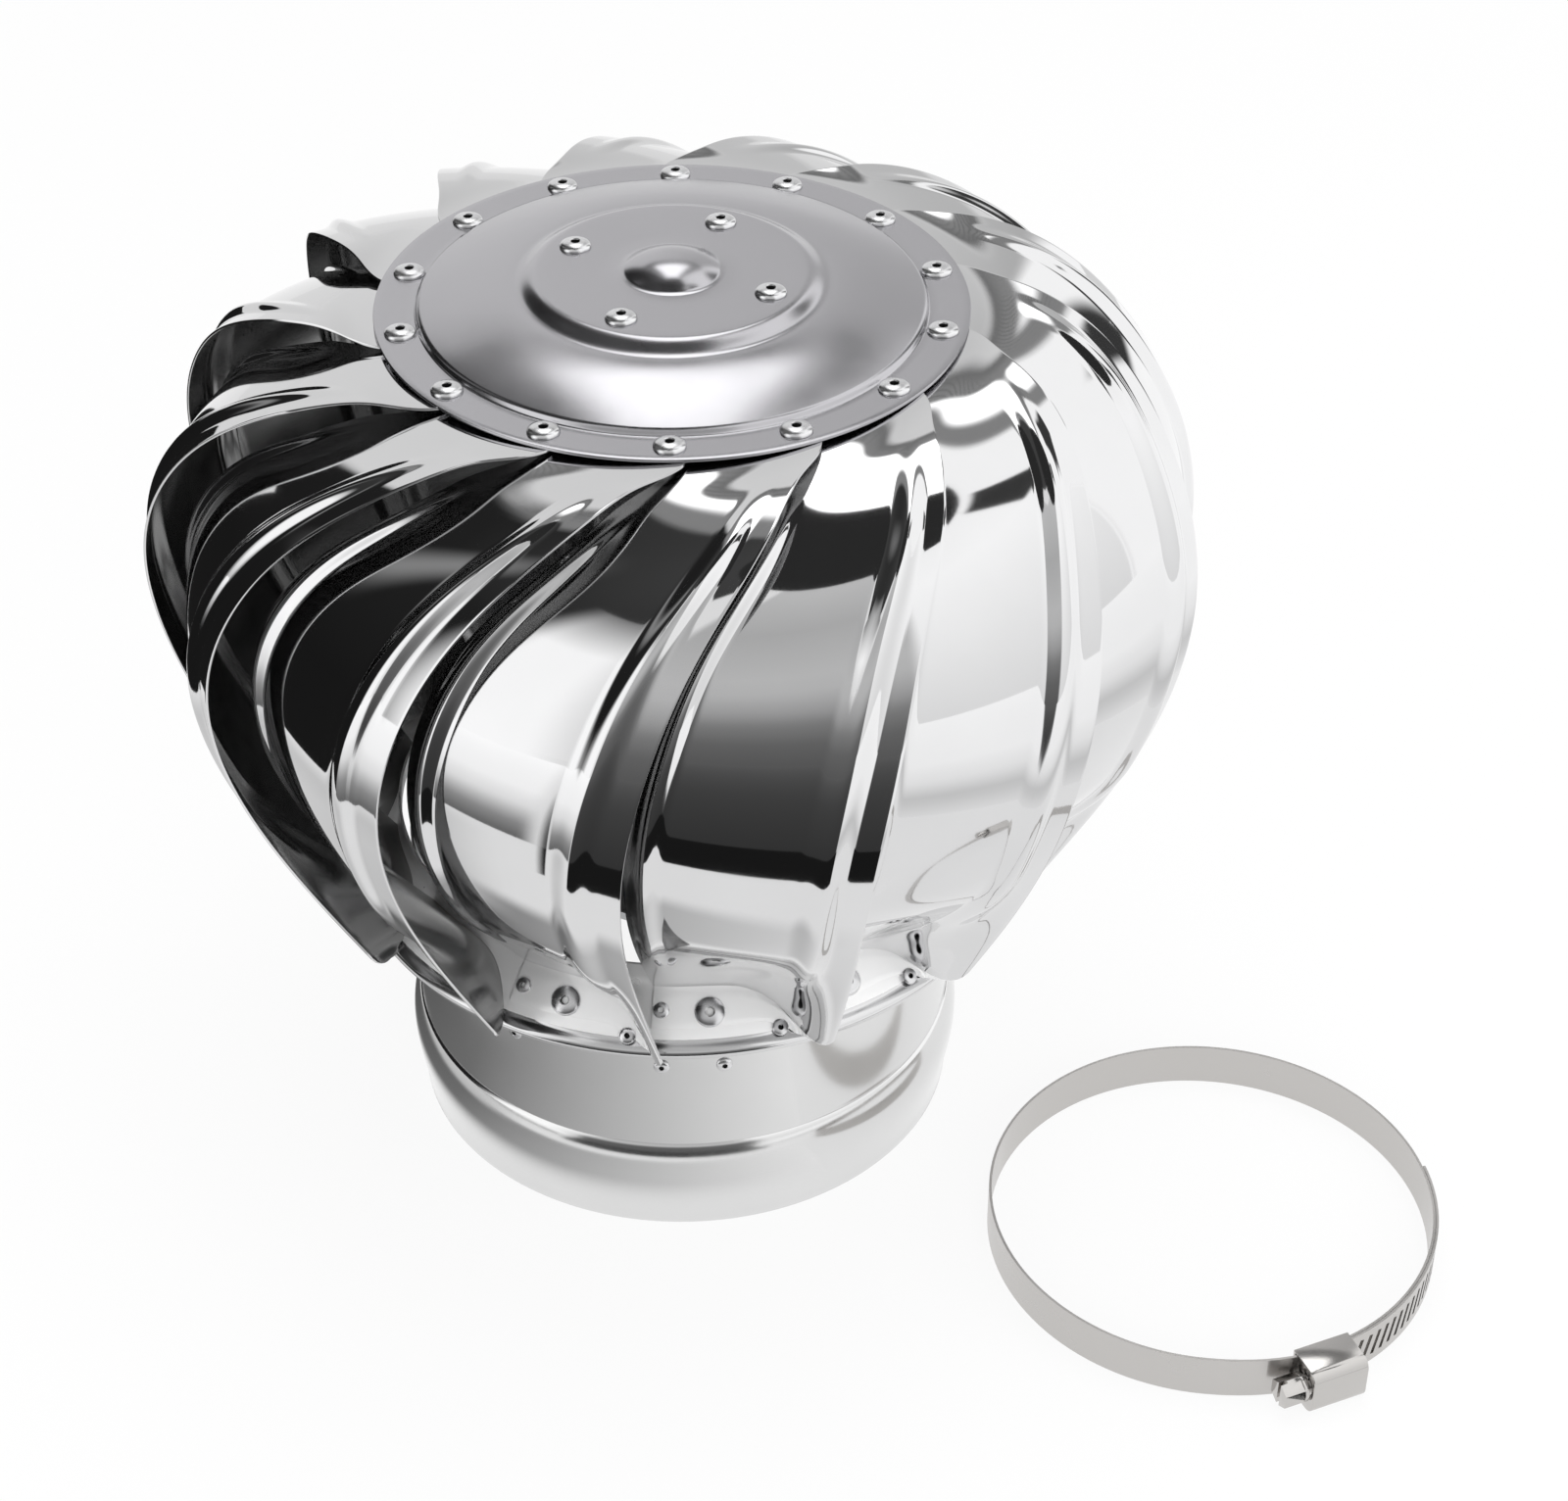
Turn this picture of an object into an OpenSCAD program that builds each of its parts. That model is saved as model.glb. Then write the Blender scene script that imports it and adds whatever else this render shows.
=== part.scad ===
/* [Flue collar] */
// Outer diameter of the flue collar
collar_d = 150; // [110:1:170]
// Height of the flue collar, up into the running ring
collar_h = 84; // [78:1:88]
// Sheet thickness of the collar
collar_t = 0.8; // [0.5:0.1:1.5]
// Height of the middle of the swaged bead
bead_z = 24; // [14:1:34]
// Height of the swaged bead along the collar
bead_w = 11; // [6:1:16]
// How far the swaged bead stands proud
bead_out = 2.2; // [1:0.1:3]

/* [Shaft bracket] */
// Height of the bracket's rivets on the collar
bracket_z = 57; // [50:1:60]
// Width of each bracket arm
arm_w = 24; // [22:1:30]
// Thickness of the bracket's plate
arm_t = 2.5; // [2:0.1:4]
// Height of each foot that lies against the collar
foot_h = 16; // [12:1:20]
// Turn of the first arm from the front
bracket_turn = 1.3; // [0:0.1:20]

/* [Shaft and bearings] */
// Diameter of the fixed shaft
shaft_d = 8; // [7:0.5:9]
// Diameter of each bearing's outer race
race_d = 22; // [22:0.5:26]
// Width of each bearing
race_w = 7; // [6:0.5:9]
// Diameter of a bearing ball
ball_bearing_d = 3.97; // [3.5:0.01:4.2]
// Number of balls in a bearing
ball_n = 7; // [6:1:8]
// Distance between the two bearings
bearing_gap = 26; // [18:1:40]
// Wall of the bearing hub
hub_wall = 3; // [2:0.5:5]
// Diameter of the bearing hub's flange
hub_flange_d = 66; // [62:1:68]
// Thickness of the bearing hub's flange
hub_flange_t = 2; // [1.5:0.1:3]

/* [Cap plate] */
// Outer diameter of the cap plate
cap_d = 148; // [144:1:152]
// Height of the underside of the cap's flange
cap_z = 243.6; // [235:0.1:255]
// Sheet thickness of the cap plate
cap_t = 0.8; // [0.6:0.1:1]
// Diameter of the step inside the flange
step_d = 126; // [122:1:128]
// Diameter of the raised disc
disc_d = 70; // [69:1:76]
// Height of the raised disc above the flange
disc_rise = 9; // [8:0.5:12]
// Diameter of the centre dimple
dimple_d = 25; // [24:1:30]
// Height of the centre dimple
dimple_rise = 5; // [4.5:0.5:7]
// Pitch circle diameter of the flange rivets
rim_pcd = 136; // [135.5:0.5:137]
// Pitch circle diameter of the hub rivets
hub_pcd = 54; // [52:1:56]

/* [Blades] */
// Number of blades
blade_n = 14; // [14:1:14]
// Diameter over the blades' free edges
ball_d = 272; // [260:1:290]
// Height of the widest place of the blades
ball_z = 181; // [175:1:190]
// Sheet thickness of a blade
blade_t = 0.6; // [0.4:0.1:0.7]
// How far the tucked edge lies inside the next free edge
tuck = 13.5; // [10:0.5:18]
// Height of the stiffening ridges
ridge_h = 1.9; // [1:0.1:2.5]

/* [Running ring] */
// Outer diameter of the running ring, over its rolled edge
ring_d = 188; // [184:1:194]
// Height of the ring's rolled edge
ring_z = 72; // [70:0.5:75]
// Diameter of the ring's opening
ring_bore = 155; // [154:0.5:158]
// Sheet thickness of the ring
ring_t = 0.8; // [0.6:0.1:1]
// Radius of the rolled edge
roll_r = 1.8; // [1.5:0.1:2.2]
// Radius of the circle of the ring's rivets
ring_rivet_r = 83.5; // [83:0.5:84]

/* [Rivets] */
// Head diameter of the large rivets
rivet_head = 8; // [7:0.5:9]
// Shank diameter of the large rivets
rivet_shank = 3.2; // [2.8:0.1:3.6]
// Head diameter of the small rivets
eyelet_head = 4.4; // [4:0.1:5]
// Shank diameter of the small rivets
eyelet_shank = 2; // [1.6:0.1:2.4]

/* [Hose clamp] */
// Outer diameter of the clamp's band as it lies
clamp_d = 122; // [115:1:150]
// Width of the clamp's band
band_w = 12.7; // [10:0.1:14]
// Thickness of the clamp's band
band_t = 0.7; // [0.5:0.1:0.9]
// Arc of the band's free tail
tail_arc = 78; // [60:1:100]
// Distance of the clamp from the rotor axis, to the right
clamp_x = 141.5; // [135:0.5:200]
// Distance of the clamp from the rotor axis, to the front
clamp_y = 83; // [70:0.5:120]
// Turn of the clamp's housing from the front
housing_turn = 21; // [0:1:60]
// Length of the clamp's housing
housing_l = 16; // [12:0.5:20]
// Diameter of the clamp's worm
worm_d = 7; // [6:0.5:8]

/* [Clearances] */
// Gap between faces that seat on each other
seat = 0.05; // [0.03:0.01:0.08]
// Radial gap of a fitted bore
fit = 0.02; // [0.01:0.01:0.04]
// Radial gap of a ball in its groove
ball_fit = 0.05; // [0.04:0.01:0.08]

/* [Hidden] */

$fn = 96;
steel = "gainsboro";
satin = "silver";
zinc = "darkgray";
dark_steel = "dimgray";

collar_r = collar_d / 2;
collar_in = collar_r - collar_t;
pitch = 360 / blade_n;
cap_r = cap_d / 2;
cap_top = cap_z + cap_t;
disc_top = cap_top + disc_rise;
disc_under = disc_top - cap_t;
rim_r = rim_pcd / 2;
rim_rivet_turn = -1.1;
hub_rivet_turn = -27.5;
hub_rivet_n = 4;

ring_r = ring_d / 2;
ring_in = ring_bore / 2;
// The ring's cone leans at 45 degrees, so radius and height of its top face have one sum
cone_sum = ring_r - roll_r + ring_z + roll_r * sqrt(2);
ring_lip = 5;
ring_rivet_turn = 4.2;

hub_top = disc_under - seat;
hub_tube_r = race_d / 2 + fit + hub_wall;
bearing_drop = 5.1;
upper_top = hub_top - bearing_drop;
upper_bottom = upper_top - race_w;
lower_top = upper_bottom - bearing_gap;
lower_bottom = lower_top - race_w;
circlip_t = 1.2;
hub_bottom = lower_bottom - circlip_t - 2;
washer_t = 1.2;
nut_t = 5;
nut_af = 13;
washer_d = 16;
bearing_washer_d = 11;
arm_z = bracket_z - foot_h / 2;
shaft_r = shaft_d / 2;
shaft_top = upper_top + washer_t + nut_t + 0.6;
shaft_bottom = arm_z - washer_t - nut_t - 3;
race_land = 1.9;
pitch_r = (shaft_r + race_d / 2) / 2;

function lerp(a, b, f) = a + (b - a) * f;
function unit(v) = v / norm(v);
function smooth(f) = let(c = min(max(f, 0), 1)) c * c * (3 - 2 * c);
// Points of an arc about a centre, from one angle to another
function arc(c, r, a0, a1, n) = [for (i = [0:n]) c + r * [cos(lerp(a0, a1, i / n)), sin(lerp(a0, a1, i / n))]];
// Normal to the left of a line of points, at one of its points; a line that runs to the axis ends level
function left_normal(p, i) =
    let(a = p[max(i - 1, 0)], b = p[min(i + 1, len(p) - 1)], d = unit(b - a))
    p[i][0] < 0.001 ? [0, -1] : [-d[1], d[0]];
// Outline of a sheet whose middle follows a line of points
function sheet(p, t) = concat(
    [for (i = [0:len(p) - 1]) p[i] + left_normal(p, i) * t / 2],
    [for (i = [len(p) - 1:-1:0]) p[i] - left_normal(p, i) * t / 2]);

module around(n, turn = 0) {
    for (i = [0:n - 1]) rotate([0, 0, turn + i * 360 / n]) children();
}

// Puts a thing on the ring's cone at one radius, its z axis square to the cone
module on_cone(r, turn) {
    rotate([0, 0, turn]) translate([0, -r, cone_sum - r]) rotate([45, 0, 0]) children();
}

// A blind rivet, with a domed head that has a mandrel hole, seated at z = 0
module rivet(head, shank, grip) {
    rise = head * 0.22;
    hole = shank * 0.3;
    tail = shank * 0.65;
    rotate_extrude() polygon(concat(
        [[hole, rise * 0.35], [hole, rise * 0.9]],
        [for (a = [75:-15:0]) [head / 2 * cos(a), rise * sin(a)]],
        [[shank / 2, 0], [shank / 2, -grip], [tail, -grip], [tail, -grip - shank * 0.7],
         [0, -grip - shank], [0, rise * 0.35]]));
}

// The hole that a rivet of one shank needs
module rivet_hole(shank, deep) {
    translate([0, 0, -deep]) cylinder(r = shank / 2 + fit, h = 2 * deep, $fn = 32);
}

// Section 1: the flue collar and what it carries
bead_n = 8;
bead_line = [for (i = [0:bead_n])
    let(f = i / bead_n) [collar_r - collar_t / 2 + bead_out * pow(sin(180 * f), 2), bead_z + bead_w * (f - 0.5)]];
collar_line = concat([[collar_r - collar_t / 2, 0]], bead_line, [[collar_r - collar_t / 2, collar_h]]);
feet_n = 3;
eyelet_spread = 6.35;
seam_turn = -37.3;

module collar_eyelet_places() {
    for (k = [0:feet_n - 1], side = [-1, 1])
        rotate([0, 0, bracket_turn + k * 360 / feet_n + side * eyelet_spread])
            translate([0, -collar_r, bracket_z]) rotate([90, 0, 0]) children();
}

module flue_collar() {
    color(satin) difference() {
        rotate_extrude($fn = 180) polygon(sheet(collar_line, collar_t));
        collar_eyelet_places() rivet_hole(eyelet_shank, collar_t * 4);
        rotate([0, 0, seam_turn]) translate([0, -collar_r, bracket_z]) rotate([90, 0, 0])
            rivet_hole(eyelet_shank, collar_t * 4);
    }
}

module shaft_bracket() {
    foot_r = collar_in - seat;
    color(zinc) difference() {
        union() {
            intersection() {
                translate([0, 0, arm_z]) cylinder(r = foot_r, h = foot_h, $fn = 180);
                around(feet_n, bracket_turn) translate([-arm_w / 2, -collar_r, arm_z - 1])
                    cube([arm_w, collar_r, foot_h + 2]);
            }
            translate([0, 0, arm_z]) cylinder(r = arm_w * 0.7, h = foot_h);
        }
        translate([0, 0, arm_z + arm_t]) cylinder(r = foot_r - arm_t, h = foot_h, $fn = 180);
        translate([0, 0, arm_z - 1]) cylinder(r = shaft_r + fit, h = arm_t + 2);
        collar_eyelet_places() rivet_hole(eyelet_shank, collar_t + arm_t * 2);
    }
}

module collar_rivets() {
    color(satin) {
        collar_eyelet_places() translate([0, 0, seat]) rivet(eyelet_head, eyelet_shank, collar_t + arm_t + 3 * seat);
        rotate([0, 0, seam_turn]) translate([0, -collar_r, bracket_z]) rotate([90, 0, 0])
            translate([0, 0, seat]) rivet(eyelet_head, eyelet_shank, collar_t + 3 * seat);
    }
}

// Section 2: the fixed shaft with its nuts, washers and inner races
module shaft() {
    chamfer = 0.8;
    color(zinc) rotate_extrude() polygon([
        [0, shaft_bottom], [shaft_r - chamfer, shaft_bottom], [shaft_r, shaft_bottom + chamfer],
        [shaft_r, shaft_top - chamfer], [shaft_r - chamfer, shaft_top], [0, shaft_top]]);
}

module nut(z) {
    translate([0, 0, z]) difference() {
        intersection() {
            cylinder(d = nut_af / cos(30), h = nut_t, $fn = 6);
            rotate_extrude() polygon([[0, 0], [nut_af / 2, 0], [nut_af / 2 + 1, 0.7],
                [nut_af / 2 + 1, nut_t - 0.7], [nut_af / 2, nut_t], [0, nut_t]]);
        }
        translate([0, 0, -1]) cylinder(r = shaft_r + fit, h = nut_t + 2);
    }
}

module washer(d, z) {
    translate([0, 0, z]) difference() {
        cylinder(d = d, h = washer_t);
        translate([0, 0, -1]) cylinder(r = shaft_r + fit, h = washer_t + 2);
    }
}

module shaft_nuts() {
    color(zinc) {
        nut(arm_z - washer_t - nut_t);
        nut(arm_z + arm_t + washer_t);
        nut(lower_bottom - washer_t - nut_t);
        nut(upper_top + washer_t);
    }
}

module shaft_washers() {
    color(zinc) {
        washer(washer_d, arm_z - washer_t);
        washer(washer_d, arm_z + arm_t);
        washer(bearing_washer_d, lower_bottom - washer_t);
        washer(bearing_washer_d, upper_top);
    }
}

module inner_spacer() {
    color(zinc) translate([0, 0, lower_top]) difference() {
        cylinder(r = shaft_r + fit + 1.6, h = bearing_gap);
        translate([0, 0, -1]) cylinder(r = shaft_r + fit, h = bearing_gap + 2);
    }
}

module race_groove(z) {
    translate([0, 0, z + race_w / 2]) rotate_extrude()
        translate([pitch_r, 0]) circle(r = ball_bearing_d / 2 + ball_fit, $fn = 48);
}

module inner_race(z) {
    color(dark_steel) difference() {
        translate([0, 0, z]) cylinder(r = pitch_r - ball_bearing_d / 2 + race_land * 0.2, h = race_w);
        translate([0, 0, z - 1]) cylinder(r = shaft_r + fit, h = race_w + 2);
        race_groove(z);
    }
}

module outer_race(z) {
    color(dark_steel) difference() {
        translate([0, 0, z]) cylinder(d = race_d, h = race_w);
        translate([0, 0, z - 1]) cylinder(r = pitch_r + ball_bearing_d / 2 - race_land * 0.2, h = race_w + 2);
        race_groove(z);
    }
}

module balls(z) {
    color(steel) around(ball_n) translate([0, -pitch_r, z + race_w / 2]) sphere(d = ball_bearing_d, $fn = 48);
}

module cage(z) {
    cage_t = 1;
    cage_h = race_w - 1.6;
    color(zinc) difference() {
        translate([0, 0, z + (race_w - cage_h) / 2]) cylinder(r = pitch_r + cage_t / 2, h = cage_h);
        translate([0, 0, z]) cylinder(r = pitch_r - cage_t / 2, h = race_w);
        around(ball_n) translate([0, -pitch_r - cage_t, z + race_w / 2]) rotate([-90, 0, 0])
            cylinder(r = ball_bearing_d / 2 + ball_fit, h = cage_t * 2, $fn = 48);
    }
}

// Section 3: the cap plate and the bearing hub under it
step_r = step_d / 2;
disc_r = disc_d / 2;
dimple_r = dimple_d / 2;
cap_mid = cap_z + cap_t / 2;
dome_h = disc_rise - 2.4;
dome_line = [for (i = [0:8])
    let(f = i / 8) [lerp(step_r, disc_r + 3, f), cap_mid + 0.8 + dome_h * sin(90 * f)]];
dimple_line = [for (i = [0:8])
    let(f = 1 - i / 8) [dimple_r * f, cap_mid + disc_rise + dimple_rise * (0.5 + 0.5 * cos(180 * f * f))]];
cap_line = concat([[cap_r, cap_mid], [step_r + 0.8, cap_mid], [step_r + 0.2, cap_mid + 0.3]], dome_line,
    [[disc_r + 1.4, cap_mid + disc_rise - 0.5], [disc_r, cap_mid + disc_rise]], dimple_line);

module cap_rivet_places() {
    around(blade_n, rim_rivet_turn) translate([0, -rim_r, cap_top]) children();
}

module hub_rivet_places() {
    around(hub_rivet_n, hub_rivet_turn) translate([0, -hub_pcd / 2, disc_top]) children();
}

module top_cap() {
    color(satin) difference() {
        rotate_extrude($fn = 180) polygon(sheet(cap_line, cap_t));
        cap_rivet_places() rivet_hole(rivet_shank, cap_t * 3);
        hub_rivet_places() rivet_hole(rivet_shank, cap_t * 3);
    }
}

module cap_rivets() {
    color(steel) cap_rivet_places() translate([0, 0, seat]) rivet(rivet_head, rivet_shank, cap_t + blade_t + 6 * seat);
}

module hub_rivets() {
    color(steel) hub_rivet_places() translate([0, 0, seat])
        rivet(rivet_head, rivet_shank, cap_t + hub_flange_t + 4 * seat);
}

module bearing_hub() {
    bore_r = race_d / 2 + fit;
    color(zinc) difference() {
        union() {
            translate([0, 0, hub_top - hub_flange_t]) cylinder(d = hub_flange_d, h = hub_flange_t);
            translate([0, 0, hub_bottom]) cylinder(r = hub_tube_r, h = hub_top - hub_bottom);
        }
        translate([0, 0, hub_bottom - 1]) cylinder(r = bore_r, h = upper_top + seat - hub_bottom + 1);
        translate([0, 0, upper_top]) cylinder(r = bore_r - race_land, h = bearing_drop + 1);
        translate([0, 0, lower_bottom - seat - circlip_t - seat]) cylinder(r = bore_r + 1, h = circlip_t + 2 * seat);
        hub_rivet_places() rivet_hole(rivet_shank, hub_flange_t * 3);
    }
}

module outer_spacer() {
    color(zinc) translate([0, 0, lower_top]) difference() {
        cylinder(d = race_d, h = bearing_gap);
        translate([0, 0, -1]) cylinder(r = race_d / 2 - race_land, h = bearing_gap + 2);
    }
}

module hub_circlip() {
    color(dark_steel) translate([0, 0, lower_bottom - seat - circlip_t]) difference() {
        cylinder(r = race_d / 2 + 0.8, h = circlip_t);
        translate([0, 0, -1]) cylinder(r = race_d / 2 - 1.2, h = circlip_t + 2);
        translate([-1.5, -race_d, -1]) cube([3, race_d, circlip_t + 2]);
    }
}

// Section 4: the blades, each lofted between its free edge and its tucked edge
ball_r = ball_d / 2;
tip_r = ring_r + 6.2;
tip_z = ring_z + 9.5;
foot_r = ring_in + 1.2;
foot_lift = blade_t / 2 * sqrt(2) + seat * 2;
drop = cap_z - ball_z;
fall = ball_z - tip_z;
reach = ball_r - cap_r;
tab_r = rim_r - 4;
top_z = cap_z - seat - blade_t / 2;
tuck_z = top_z - blade_t - 3 * seat;
blade_lap = 2.4;

// Stations of the free edge, from the cap to the tip: radius, height, turn
free_edge = [
    [tab_r, top_z, 30],
    [cap_r + 1, top_z, 28.2],
    [cap_r + 0.13 * reach, top_z + 0.3, 21.3],
    [cap_r + 0.26 * reach, top_z + 0.6, 16.7],
    [cap_r + 0.54 * reach, cap_z - 0.09 * drop, 9.4],
    [cap_r + 0.79 * reach, cap_z - 0.34 * drop, 1.1],
    [cap_r + 0.98 * reach, cap_z - 0.74 * drop, -3.8],
    [cap_r + 0.99 * reach, ball_z - 0.157 * fall, -6.6],
    [lerp(tip_r, ball_r, 0.67), ball_z - 0.547 * fall, -6.3],
    [tip_r, tip_z, -3.6]];

// Stations of the tucked edge: how far in and down from the free edge, and its turn
tucked_edge = [
    [tab_r, tuck_z, 30 - pitch - blade_lap],
    [cap_r + 1, tuck_z - 0.5, 28.2 - pitch - blade_lap],
    [cap_r + 0.13 * reach - 1, top_z - 0.28 * tuck, -6.9],
    [cap_r + 0.26 * reach - 0.2 * tuck, top_z - 0.52 * tuck, -11.5],
    free_edge[4] - [0.5 * tuck, 0.76 * tuck, 27.9],
    free_edge[5] - [0.8 * tuck, 0.55 * tuck, 27.1],
    free_edge[6] - [0.95 * tuck, 0.2 * tuck, 26.2],
    free_edge[7] - [1.03 * tuck, -0.15 * tuck, 25.8],
    free_edge[8] - [0.93 * tuck, -0.4 * tuck, 26.7],
    [foot_r, cone_sum - foot_r + foot_lift, -31.7]];

station_n = len(free_edge) - 1;

// Smooth value between the stations of a path, at 0 to 1 along it
function along(p, s) =
    let(x = min(max(s, 0), 1) * station_n, i = min(floor(x), station_n - 1), f = x - i,
        a = p[max(i - 1, 0)], b = p[i], c = p[i + 1], d = p[min(i + 2, station_n)])
    0.5 * (2 * b + (c - a) * f + (2 * a - 5 * b + 4 * c - d) * f * f + (3 * b - a - 3 * c + d) * f * f * f);

// The two ridges across the blade, and how they fade towards its ends
function bump(u, middle, half) = abs(u - middle) < half ? pow(cos(90 * (u - middle) / half), 2) : 0;
function fade(s) = smooth((s - 0.26) / 0.14) * smooth((0.97 - s) / 0.08);
function ridges(u, s) = ridge_h * fade(s) * (bump(u, 0.8, 0.1) + bump(u, 0.085, 0.085));

// The last rows settle on the ring's cone, while the free corner stays proud as a tip
function foot_radius(u) = lerp(foot_r, tip_r, pow(u, 5));
function foot_point(u) =
    let(r = foot_radius(u)) [r, cone_sum - r + foot_lift + (tip_z - cone_sum + tip_r - foot_lift) * pow(u, 24)];
settle_from = 0.86;

function blade_rz(u, s) =
    let(f = along(free_edge, s), t = along(tucked_edge, s),
        plain = [lerp(t[0], f[0], u), lerp(t[1], f[1], u)],
        straight_end = [lerp(foot_r, tip_r, u), lerp(tucked_edge[station_n][1], tip_z, u)],
        w = smooth((s - settle_from) / (1 - settle_from)))
    plain + (foot_point(u) - straight_end) * w;
function blade_turn(u, s) = lerp(along(tucked_edge, s)[2], along(free_edge, s)[2], u);

// Outward normal of the blade in the plane through the axis
function blade_normal(u, s) =
    let(d = 0.004, a = blade_rz(u, max(s - d, 0)), b = blade_rz(u, min(s + d, 1)), t = unit(b - a)) [-t[1], t[0]];

function turned(rz, turn) = [rz[0] * sin(turn), -rz[0] * cos(turn), rz[1]];

// The foot flange goes on down the cone past the last row
foot_w = 11;
function flange_rz(u) = foot_point(u) + (foot_w * (1 - pow(u, 3)) + 0.6) * [sqrt(0.5), -sqrt(0.5)];

function skin_point(u, s, side) =
    turned(blade_rz(u, s) + blade_normal(u, s) * (ridges(u, s) + side * blade_t / 2), blade_turn(u, s));
function flange_point(u, side) =
    turned(flange_rz(u) + [sqrt(0.5), sqrt(0.5)] * side * blade_t / 2, blade_turn(u, 1));

across = [0, 0.045, 0.085, 0.125, 0.17, 0.34, 0.52, 0.7, 0.755, 0.8, 0.845, 0.9, 1];
down = [0, 0.06, 0.12, 0.19, 0.26, 0.33, 0.4, 0.48, 0.56, 0.64, 0.72, 0.8, 0.87, 0.94, 1];
col_n = len(across);
row_n = len(down) + 1;

function skin(side) = [for (i = [0:row_n - 1], u = across)
    i < row_n - 1 ? skin_point(u, down[i], side) : flange_point(u, side)];
function at(side, i, j) = side * row_n * col_n + i * col_n + j;
function quad(a, b, c, d) = [[a, b, c], [a, c, d]];

blade_points = concat(skin(1), skin(-1));
blade_faces = concat(
    [for (i = [0:row_n - 2], j = [0:col_n - 2], f = quad(at(0, i, j), at(0, i, j + 1),
        at(0, i + 1, j + 1), at(0, i + 1, j))) f],
    [for (i = [0:row_n - 2], j = [0:col_n - 2], f = quad(at(1, i, j), at(1, i + 1, j),
        at(1, i + 1, j + 1), at(1, i, j + 1))) f],
    [for (i = [0:row_n - 2], f = concat(
        quad(at(0, i, 0), at(0, i + 1, 0), at(1, i + 1, 0), at(1, i, 0)),
        quad(at(0, i + 1, col_n - 1), at(0, i, col_n - 1), at(1, i, col_n - 1), at(1, i + 1, col_n - 1)))) f],
    [for (j = [0:col_n - 2], f = concat(
        quad(at(0, 0, j + 1), at(0, 0, j), at(1, 0, j), at(1, 0, j + 1)),
        quad(at(0, row_n - 1, j), at(0, row_n - 1, j + 1), at(1, row_n - 1, j + 1), at(1, row_n - 1, j)))) f]);

// The two eyelets of a foot: one by the tucked corner, one near the tip
corner_turn = -30;
corner_r = ring_rivet_r - 0.5;
tip_turn = -9.8;
tip_eyelet_r = ring_rivet_r + 4.5;

module blade(k) {
    color(steel) rotate([0, 0, (k - 1) * pitch]) difference() {
        polyhedron(points = blade_points, faces = blade_faces, convexity = 8);
        rotate([0, 0, rim_rivet_turn + pitch]) translate([0, -rim_r, cap_z]) rivet_hole(rivet_shank, blade_t * 4);
        on_cone(ring_rivet_r, ring_rivet_turn - pitch) rivet_hole(rivet_shank, blade_t * 4);
        on_cone(corner_r, corner_turn) rivet_hole(eyelet_shank, blade_t * 4);
        on_cone(tip_eyelet_r, tip_turn) rivet_hole(eyelet_shank, blade_t * 4);
    }
}

// Section 5: the running ring at the blades' feet
ring_line = concat(
    [[ring_in + ring_t / 2, cone_sum - ring_in + ring_lip]],
    [for (f = [0:0.25:1]) [ring_in + ring_t / 2 + 0.6 * f * f, cone_sum - ring_in - ring_t * 1.5 + 1.4 * (1 - f) - f * f]],
    [[ring_in + 4, cone_sum - ring_in - 4 - ring_t * sqrt(0.5)]],
    [[ring_r - roll_r - 1.5, cone_sum - ring_r + roll_r + 1.5 - ring_t * sqrt(0.5)]],
    arc([ring_r - roll_r, ring_z], roll_r - ring_t / 2, 45, -180, 8));

module ring_rivet_places() {
    for (k = [0:blade_n - 1]) on_cone(ring_rivet_r, ring_rivet_turn + k * pitch) children();
}

module foot_eyelet_places() {
    for (k = [0:blade_n - 1]) {
        on_cone(corner_r, corner_turn + k * pitch) children();
        on_cone(tip_eyelet_r, tip_turn + k * pitch) children();
    }
}

module running_ring() {
    color(steel) difference() {
        rotate_extrude($fn = 180) polygon(sheet(ring_line, ring_t));
        ring_rivet_places() rivet_hole(rivet_shank, ring_t * 3);
        foot_eyelet_places() rivet_hole(eyelet_shank, ring_t * 3);
    }
}

foot_grip = foot_lift * 2 * sqrt(0.5) + ring_t + 3 * seat;

module ring_rivets() {
    color(steel) ring_rivet_places() translate([0, 0, blade_t + 3 * seat]) rivet(rivet_head, rivet_shank, foot_grip);
}

module foot_eyelets() {
    color(steel) foot_eyelet_places() translate([0, 0, blade_t + 3 * seat]) rivet(eyelet_head, eyelet_shank, foot_grip);
}

// Section 6: the worm-drive hose clamp that goes round the collar
clamp_r = clamp_d / 2;
band_in = clamp_r - 2 * band_t - 2 * seat;
tail_in = clamp_r - band_t;
housing_w = band_w + 1;
clamp_z = housing_w / 2;
ramp_arc = 30;
slot_pitch = 3.2;
slot_w = 1.3;
slot_l = 8;
slot_lean = 15;
housing_arc = housing_l / clamp_r * 180 / PI;
worm_z = clamp_r + worm_d / 2 + 2 * seat;
housing_wall = 0.8;

// Lays the clamp on the floor with its housing turned from the front
module clamp_place() {
    translate([clamp_x, -clamp_y, clamp_z]) rotate([0, 0, housing_turn]) children();
}

module clamp_arc(r, from, to) {
    rotate([0, 0, from - 90]) rotate_extrude(angle = to - from, $fn = 180)
        translate([r, -band_w / 2]) square([band_t, band_w]);
}

module clamp_ramp() {
    steps = 10;
    rise = tail_in - band_in;
    function ramp_point(i, out) =
        let(f = i / steps, a = -90 - ramp_arc * (1 - f), r = band_in + rise * smooth(f) + out * band_t)
        r * [cos(a), sin(a)];
    translate([0, 0, -band_w / 2]) linear_extrude(band_w) polygon(concat(
        [for (i = [0:steps]) ramp_point(i, 0)], [for (i = [steps:-1:0]) ramp_point(i, 1)]));
}

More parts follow.
